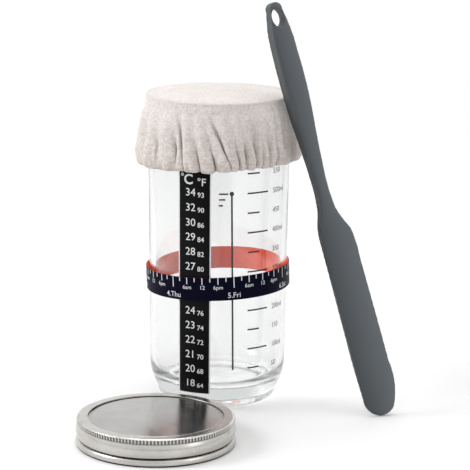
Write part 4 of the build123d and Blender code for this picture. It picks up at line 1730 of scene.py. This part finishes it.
def outer_shell(node):
    """A copy of a solid's mesh, merged, with only its tallest shell."""
    form = bmesh.new()
    form.from_mesh(nodes[node].data)
    bmesh.ops.remove_doubles(form, verts=form.verts, dist=SHELL_MERGE)
    form.verts.ensure_lookup_table()
    left = set(form.verts)
    best = set()
    while left:
        shell = {left.pop()}
        edge = list(shell)
        while edge:
            near = {vertex for link in edge.pop().link_edges for vertex in link.verts} & left
            left -= near
            shell |= near
            edge += near
        if not best or reach_of(shell) > reach_of(best):
            best = shell
    bmesh.ops.delete(form, geom=[v for v in form.verts if v not in best], context="VERTS")
    bmesh.ops.recalc_face_normals(form, faces=form.faces)
    mesh = bpy.data.meshes.new(node + "_shell")
    form.to_mesh(mesh)
    form.free()
    return mesh


def map_across(mesh):
    """A map that runs from the spatula's left edge to its right at every height, which carries its
    painted shade and light.
    """
    spots = [v.co for v in mesh.vertices]
    foot = min(spots, key=lambda spot: spot.z)
    axis = (max(spots, key=lambda spot: spot.z) - foot).normalized()
    right = (Vector((1, 0, 0)) - axis * axis.x).normalized()
    along = [(spot - foot).dot(axis) for spot in spots]
    side = [(spot - foot).dot(right) for spot in spots]
    count = int(max(along) / SLICE) + 2
    lows, highs = [math.inf] * count, [-math.inf] * count
    for far, off in zip(along, side):
        index = max(0, int(far / SLICE))
        lows[index] = min(lows[index], off)
        highs[index] = max(highs[index], off)
    lows[-1], highs[-1] = lows[-2], highs[-2]
    layer = mesh.uv_layers.new(name="across_map")
    for loop in mesh.loops:
        far, off = along[loop.vertex_index], side[loop.vertex_index]
        place = max(0.0, far / SLICE - 0.5)
        index = min(int(place), count - 2)
        part = place - index
        low = lows[index] * (1 - part) + lows[index + 1] * part
        high = highs[index] * (1 - part) + highs[index + 1] * part
        layer.data[loop.index].uv = ((off - low) / max(high - low, MM), far)


def smoothing(piece, name, passes):
    """A modifier that smooths a piece."""
    modifier = piece.modifiers.new(name, "SMOOTH")
    modifier.factor = 0.5
    modifier.iterations = passes
    return modifier


class STARTERJAR_OT_spatula(Operator):
    """Mould the spatula's rounded silicone skin"""

    bl_idname = "starterjar.spatula"
    bl_label = "Spatula"

    def execute(self, context):
        spatula = context.scene.starter_spatula
        piece = new_object("spatula_skin", outer_shell("spatula_silicone"))
        remesh = piece.modifiers.new("even", "REMESH")
        remesh.mode = "VOXEL"
        remesh.voxel_size = spatula.voxel
        smoothing(piece, "soften", EVEN_PASSES)
        even = plain_mesh(piece)
        piece.modifiers.clear()
        piece.data = even
        handle = piece.vertex_groups.new(name="handle")
        for vertex in even.vertices:
            along = rise(vertex.co.z, NECK_HEIGHT, NECK_BLEND)
            head = rise(vertex.co.z, HEAD_HEIGHT, HEAD_BLEND)
            handle.add([vertex.index], along * (1 - HEAD_KEEP * head), "REPLACE")
        smoothing(piece, "rounder", ROUND_PASSES).vertex_group = "handle"
        done = plain_mesh(piece)
        bpy.data.objects.remove(piece)
        done.name = "spatula_skin"
        done.shade_smooth()
        map_across(done)
        done.materials.clear()
        done.materials.append(
            silicone_material("grey_silicone", spatula.silicone_colour, rough=0.5, sides=SPATULA_SHADE_AND_LIGHT)
        )
        piece_of("spatula_skin", done, "spatula", "grey_silicone", "spatula_silicone")
        dress("spatula_core", tin_material("core_steel", CORE_COLOUR, 0.3, CORE_BRUSH, CORE_SCRATCH))
        return {"FINISHED"}


# Camera, and how the floor and the room look in each kind of ray, and where that changes
WHITE = (1, 1, 1, 1)
FILM_WIDTH = 36.0
CLIP = (0.05, 20.0)
FLOOR_SIZE = 8.0
FLOOR_GLOW = 0.08
FAR_FLOOR_GLOW = 0.46
FLOOR_FAR = 2.2
FLOOR_GLOSS_SHARE = 0.6
FRONT_FLOOR_DIM = 0.85
FRONT_FLOOR_SPAN = (0.25, 0.60)
FRONT_FLOOR_NARROW = 0.8
SIDE_FLOOR_DIM = 0.75
SIDE_FLOOR_SPAN = (0.30, 1.0)
# Painted light: the floor glows brighter beneath the jar, where it is seen through the glass base.
UNDER_GLOW = 0.28
UNDER_JAR = (0.028, 0.037)
WORLD_LIGHT = 0.62
FRONT_GLOSS = 0.10
BACK_GLOSS = 1.0
BACK_SPAN = (-0.25, 0.45)
BACK_LEAN = 0.5
UPPER_GLOSS = 0.95
UPPER_SPAN = (-0.02, 0.10)
SIDE_ROOM_DIM = 0.7
SIDE_ROOM_SPAN = (0.5, 0.95)
# Lamps: name, place, aim, power and size
LAMPS = (
    ("key_lamp", (-1.20, -0.15, 0.90), (0.0, 0.0, 0.12), 9.6, (0.6, 0.6)),
    ("fill_lamp", (1.05, -0.75, 0.65), (0.0, 0.0, 0.08), 1.8, (0.5, 0.9)),
    ("top_lamp", (0.0, 0.25, 1.35), (0.0, 0.0, 0.10), 6.8, (0.8, 0.8)),
)


def without(tree, share, ray):
    """What stays where one kind of ray loses a share."""
    return maths(tree, "SUBTRACT", 1.0, times(tree, share, ray))


def stage_material(colour):
    """A matt floor that looks white to the camera, in metal and through glass, and keeps its shadows,
    but for painted light beneath the jar.
    """
    made = bpy.data.materials.new("stage_white")
    made.use_nodes = True
    tree = made.node_tree
    tree.nodes.remove(tree.nodes["Principled BSDF"])
    rays = node_in(tree, "ShaderNodeLightPath").outputs
    straight = maths(tree, "MAXIMUM", rays["Is Camera Ray"], rays["Is Transmission Ray"])
    seen = maths(tree, "MAXIMUM", straight, times(tree, rays["Is Glossy Ray"], FLOOR_GLOSS_SHARE))
    place = node_in(tree, "ShaderNodeTexCoord").outputs["Object"]
    spot = parts_of(tree, place)
    sideways = maths(tree, "ABSOLUTE", spot[0])
    away = node_in(tree, "ShaderNodeVectorMath", {0: place}, operation="LENGTH").outputs["Value"]
    level = plus(
        tree, spread(tree, away, FLOOR_GLOW, FAR_FLOOR_GLOW, 0.0, FLOOR_FAR, smooth=True),
        spread(tree, away, UNDER_GLOW, 0.0, *UNDER_JAR),
    )
    narrowed = times(tree, sideways, FRONT_FLOOR_NARROW)
    ahead = maths(tree, "SUBTRACT", times(tree, spot[1], -1.0), narrowed)
    dim = spread(tree, ahead, 0.0, FRONT_FLOOR_DIM, *FRONT_FLOOR_SPAN, smooth=True)
    aside = spread(tree, sideways, 0.0, SIDE_FLOOR_DIM, *SIDE_FLOOR_SPAN)
    kept = times(
        tree, without(tree, dim, rays["Is Glossy Ray"]),
        without(tree, aside, rays["Is Transmission Ray"]),
    )
    glow = times(tree, seen, level, kept)
    matt = add(tree, "ShaderNodeBsdfDiffuse", {"Color": tint(tree, kept, (0.0, 0.0, 0.0), colour)})
    light = add(tree, "ShaderNodeEmission", {"Color": WHITE, "Strength": glow})
    both = add(tree, "ShaderNodeAddShader", {0: matt, 1: light})
    tree.links.new(both, tree.nodes["Material Output"].inputs["Surface"])
    return made


def studio_world():
    """A room that is white to the camera and behind the set in metal, and dimmer in front."""
    world = bpy.data.worlds.new("studio")
    world.use_nodes = True
    tree = world.node_tree
    rays = node_in(tree, "ShaderNodeLightPath").outputs
    parts = parts_of(tree, node_in(tree, "ShaderNodeTexCoord").outputs["Generated"])
    behind = plus(tree, parts[1], times(tree, parts[2], BACK_LEAN))
    room = maths(
        tree, "MAXIMUM", spread(tree, behind, FRONT_GLOSS, BACK_GLOSS, *BACK_SPAN, smooth=True),
        spread(tree, parts[2], 0.0, UPPER_GLOSS, *UPPER_SPAN, smooth=True),
    )
    straight = maths(tree, "MAXIMUM", rays["Is Camera Ray"], rays["Is Transmission Ray"])
    aside = spread(tree, maths(tree, "ABSOLUTE", parts[0]), 0.0, SIDE_ROOM_DIM, *SIDE_ROOM_SPAN)
    plain = times(
        tree, tint_value(tree, straight, WORLD_LIGHT, 1.0),
        without(tree, aside, rays["Is Transmission Ray"]),
    )
    ground = tree.nodes["Background"]
    ground.inputs["Color"].default_value = WHITE
    tree.links.new(tint_value(tree, rays["Is Glossy Ray"], plain, room), ground.inputs["Strength"])
    return world


def lamp(name, place, aim, power, size):
    """A soft area lamp that points at its aim."""
    data = bpy.data.lights.new(name, "AREA")
    data.energy = power
    data.shape = "RECTANGLE"
    data.size, data.size_y = size
    light = new_object(name, data)
    light.location = place
    light.rotation_euler = (Vector(aim) - Vector(place)).to_track_quat("-Z", "Y").to_euler()


def camera_at(stage):
    """The camera at the photograph's viewing angle."""
    pitch = stage.camera_pitch
    roll = stage.camera_roll
    forward = Vector((0, math.cos(pitch), -math.sin(pitch)))
    across = Vector((1, 0, 0))
    upright = across.cross(forward)
    right = across * math.cos(roll) + upright * math.sin(roll)
    up = upright * math.cos(roll) - across * math.sin(roll)
    turn = Matrix((right, up, -forward)).transposed()
    data = bpy.data.cameras.new("camera")
    data.sensor_width = FILM_WIDTH
    data.lens = stage.lens
    data.clip_start, data.clip_end = CLIP
    camera = new_object("camera", data)
    camera.matrix_world = Matrix.Translation(stage.camera_place) @ turn.to_4x4()
    return camera


class STARTERJAR_OT_stage(Operator):
    """Lay the floor, set the lamps and place the camera"""

    bl_idname = "starterjar.stage"
    bl_label = "Stage"

    def execute(self, context):
        scene = context.scene
        stage = scene.starter_stage
        half = FLOOR_SIZE / 2
        corners = [(-half, -half, 0), (half, -half, 0), (half, half, 0), (-half, half, 0)]
        floor = bpy.data.meshes.new("floor")
        floor.from_pydata(corners, [], [(0, 1, 2, 3)])
        floor.materials.append(stage_material(stage.floor_colour))
        new_object("floor", floor)
        for settings in LAMPS:
            lamp(*settings)
        scene.world = studio_world()
        scene.view_settings.view_transform = "Standard"
        scene.camera = camera_at(stage)
        return {"FINISHED"}


PIECES = (
    STARTERJAR_OT_glass, STARTERJAR_OT_marks, STARTERJAR_OT_thermometer, STARTERJAR_OT_band,
    STARTERJAR_OT_cover, STARTERJAR_OT_lid, STARTERJAR_OT_spatula, STARTERJAR_OT_stage,
)
GROUPS = {
    "starter_jar": JarProperties,
    "starter_thermometer": ThermometerProperties,
    "starter_band": BandProperties,
    "starter_cover": CoverProperties,
    "starter_lid": LidProperties,
    "starter_spatula": SpatulaProperties,
    "starter_stage": StageProperties,
}


class STARTERJAR_PT_panel(Panel):
    """Lists the pieces and their sizes and colours"""

    bl_label = "Starter Jar"
    bl_idname = "STARTERJAR_PT_panel"
    bl_space_type = "VIEW_3D"
    bl_region_type = "UI"
    bl_category = "Starter Jar"

    def draw(self, context):
        for piece in PIECES:
            self.layout.operator(piece.bl_idname)
        for name, group in GROUPS.items():
            box = self.layout.box()
            box.label(text=group.__doc__)
            for key in group.__annotations__:
                box.prop(getattr(context.scene, name), key)


def register():
    """Add the properties, the operators and the panel."""
    for group in GROUPS.values():
        bpy.utils.register_class(group)
    for name, group in GROUPS.items():
        setattr(bpy.types.Scene, name, PointerProperty(type=group))
    for piece in PIECES:
        bpy.utils.register_class(piece)
    bpy.utils.register_class(STARTERJAR_PT_panel)


def unregister():
    """Take the panel, the operators and the properties away again."""
    bpy.utils.unregister_class(STARTERJAR_PT_panel)
    for piece in reversed(PIECES):
        bpy.utils.unregister_class(piece)
    for name in GROUPS:
        delattr(bpy.types.Scene, name)
    for group in reversed(list(GROUPS.values())):
        bpy.utils.unregister_class(group)


def main():
    """Register everything, then make every piece in order."""
    register()
    for piece in PIECES:
        family, action = piece.bl_idname.split(".")
        getattr(getattr(bpy.ops, family), action)()


if __name__ == "__main__":
    main()
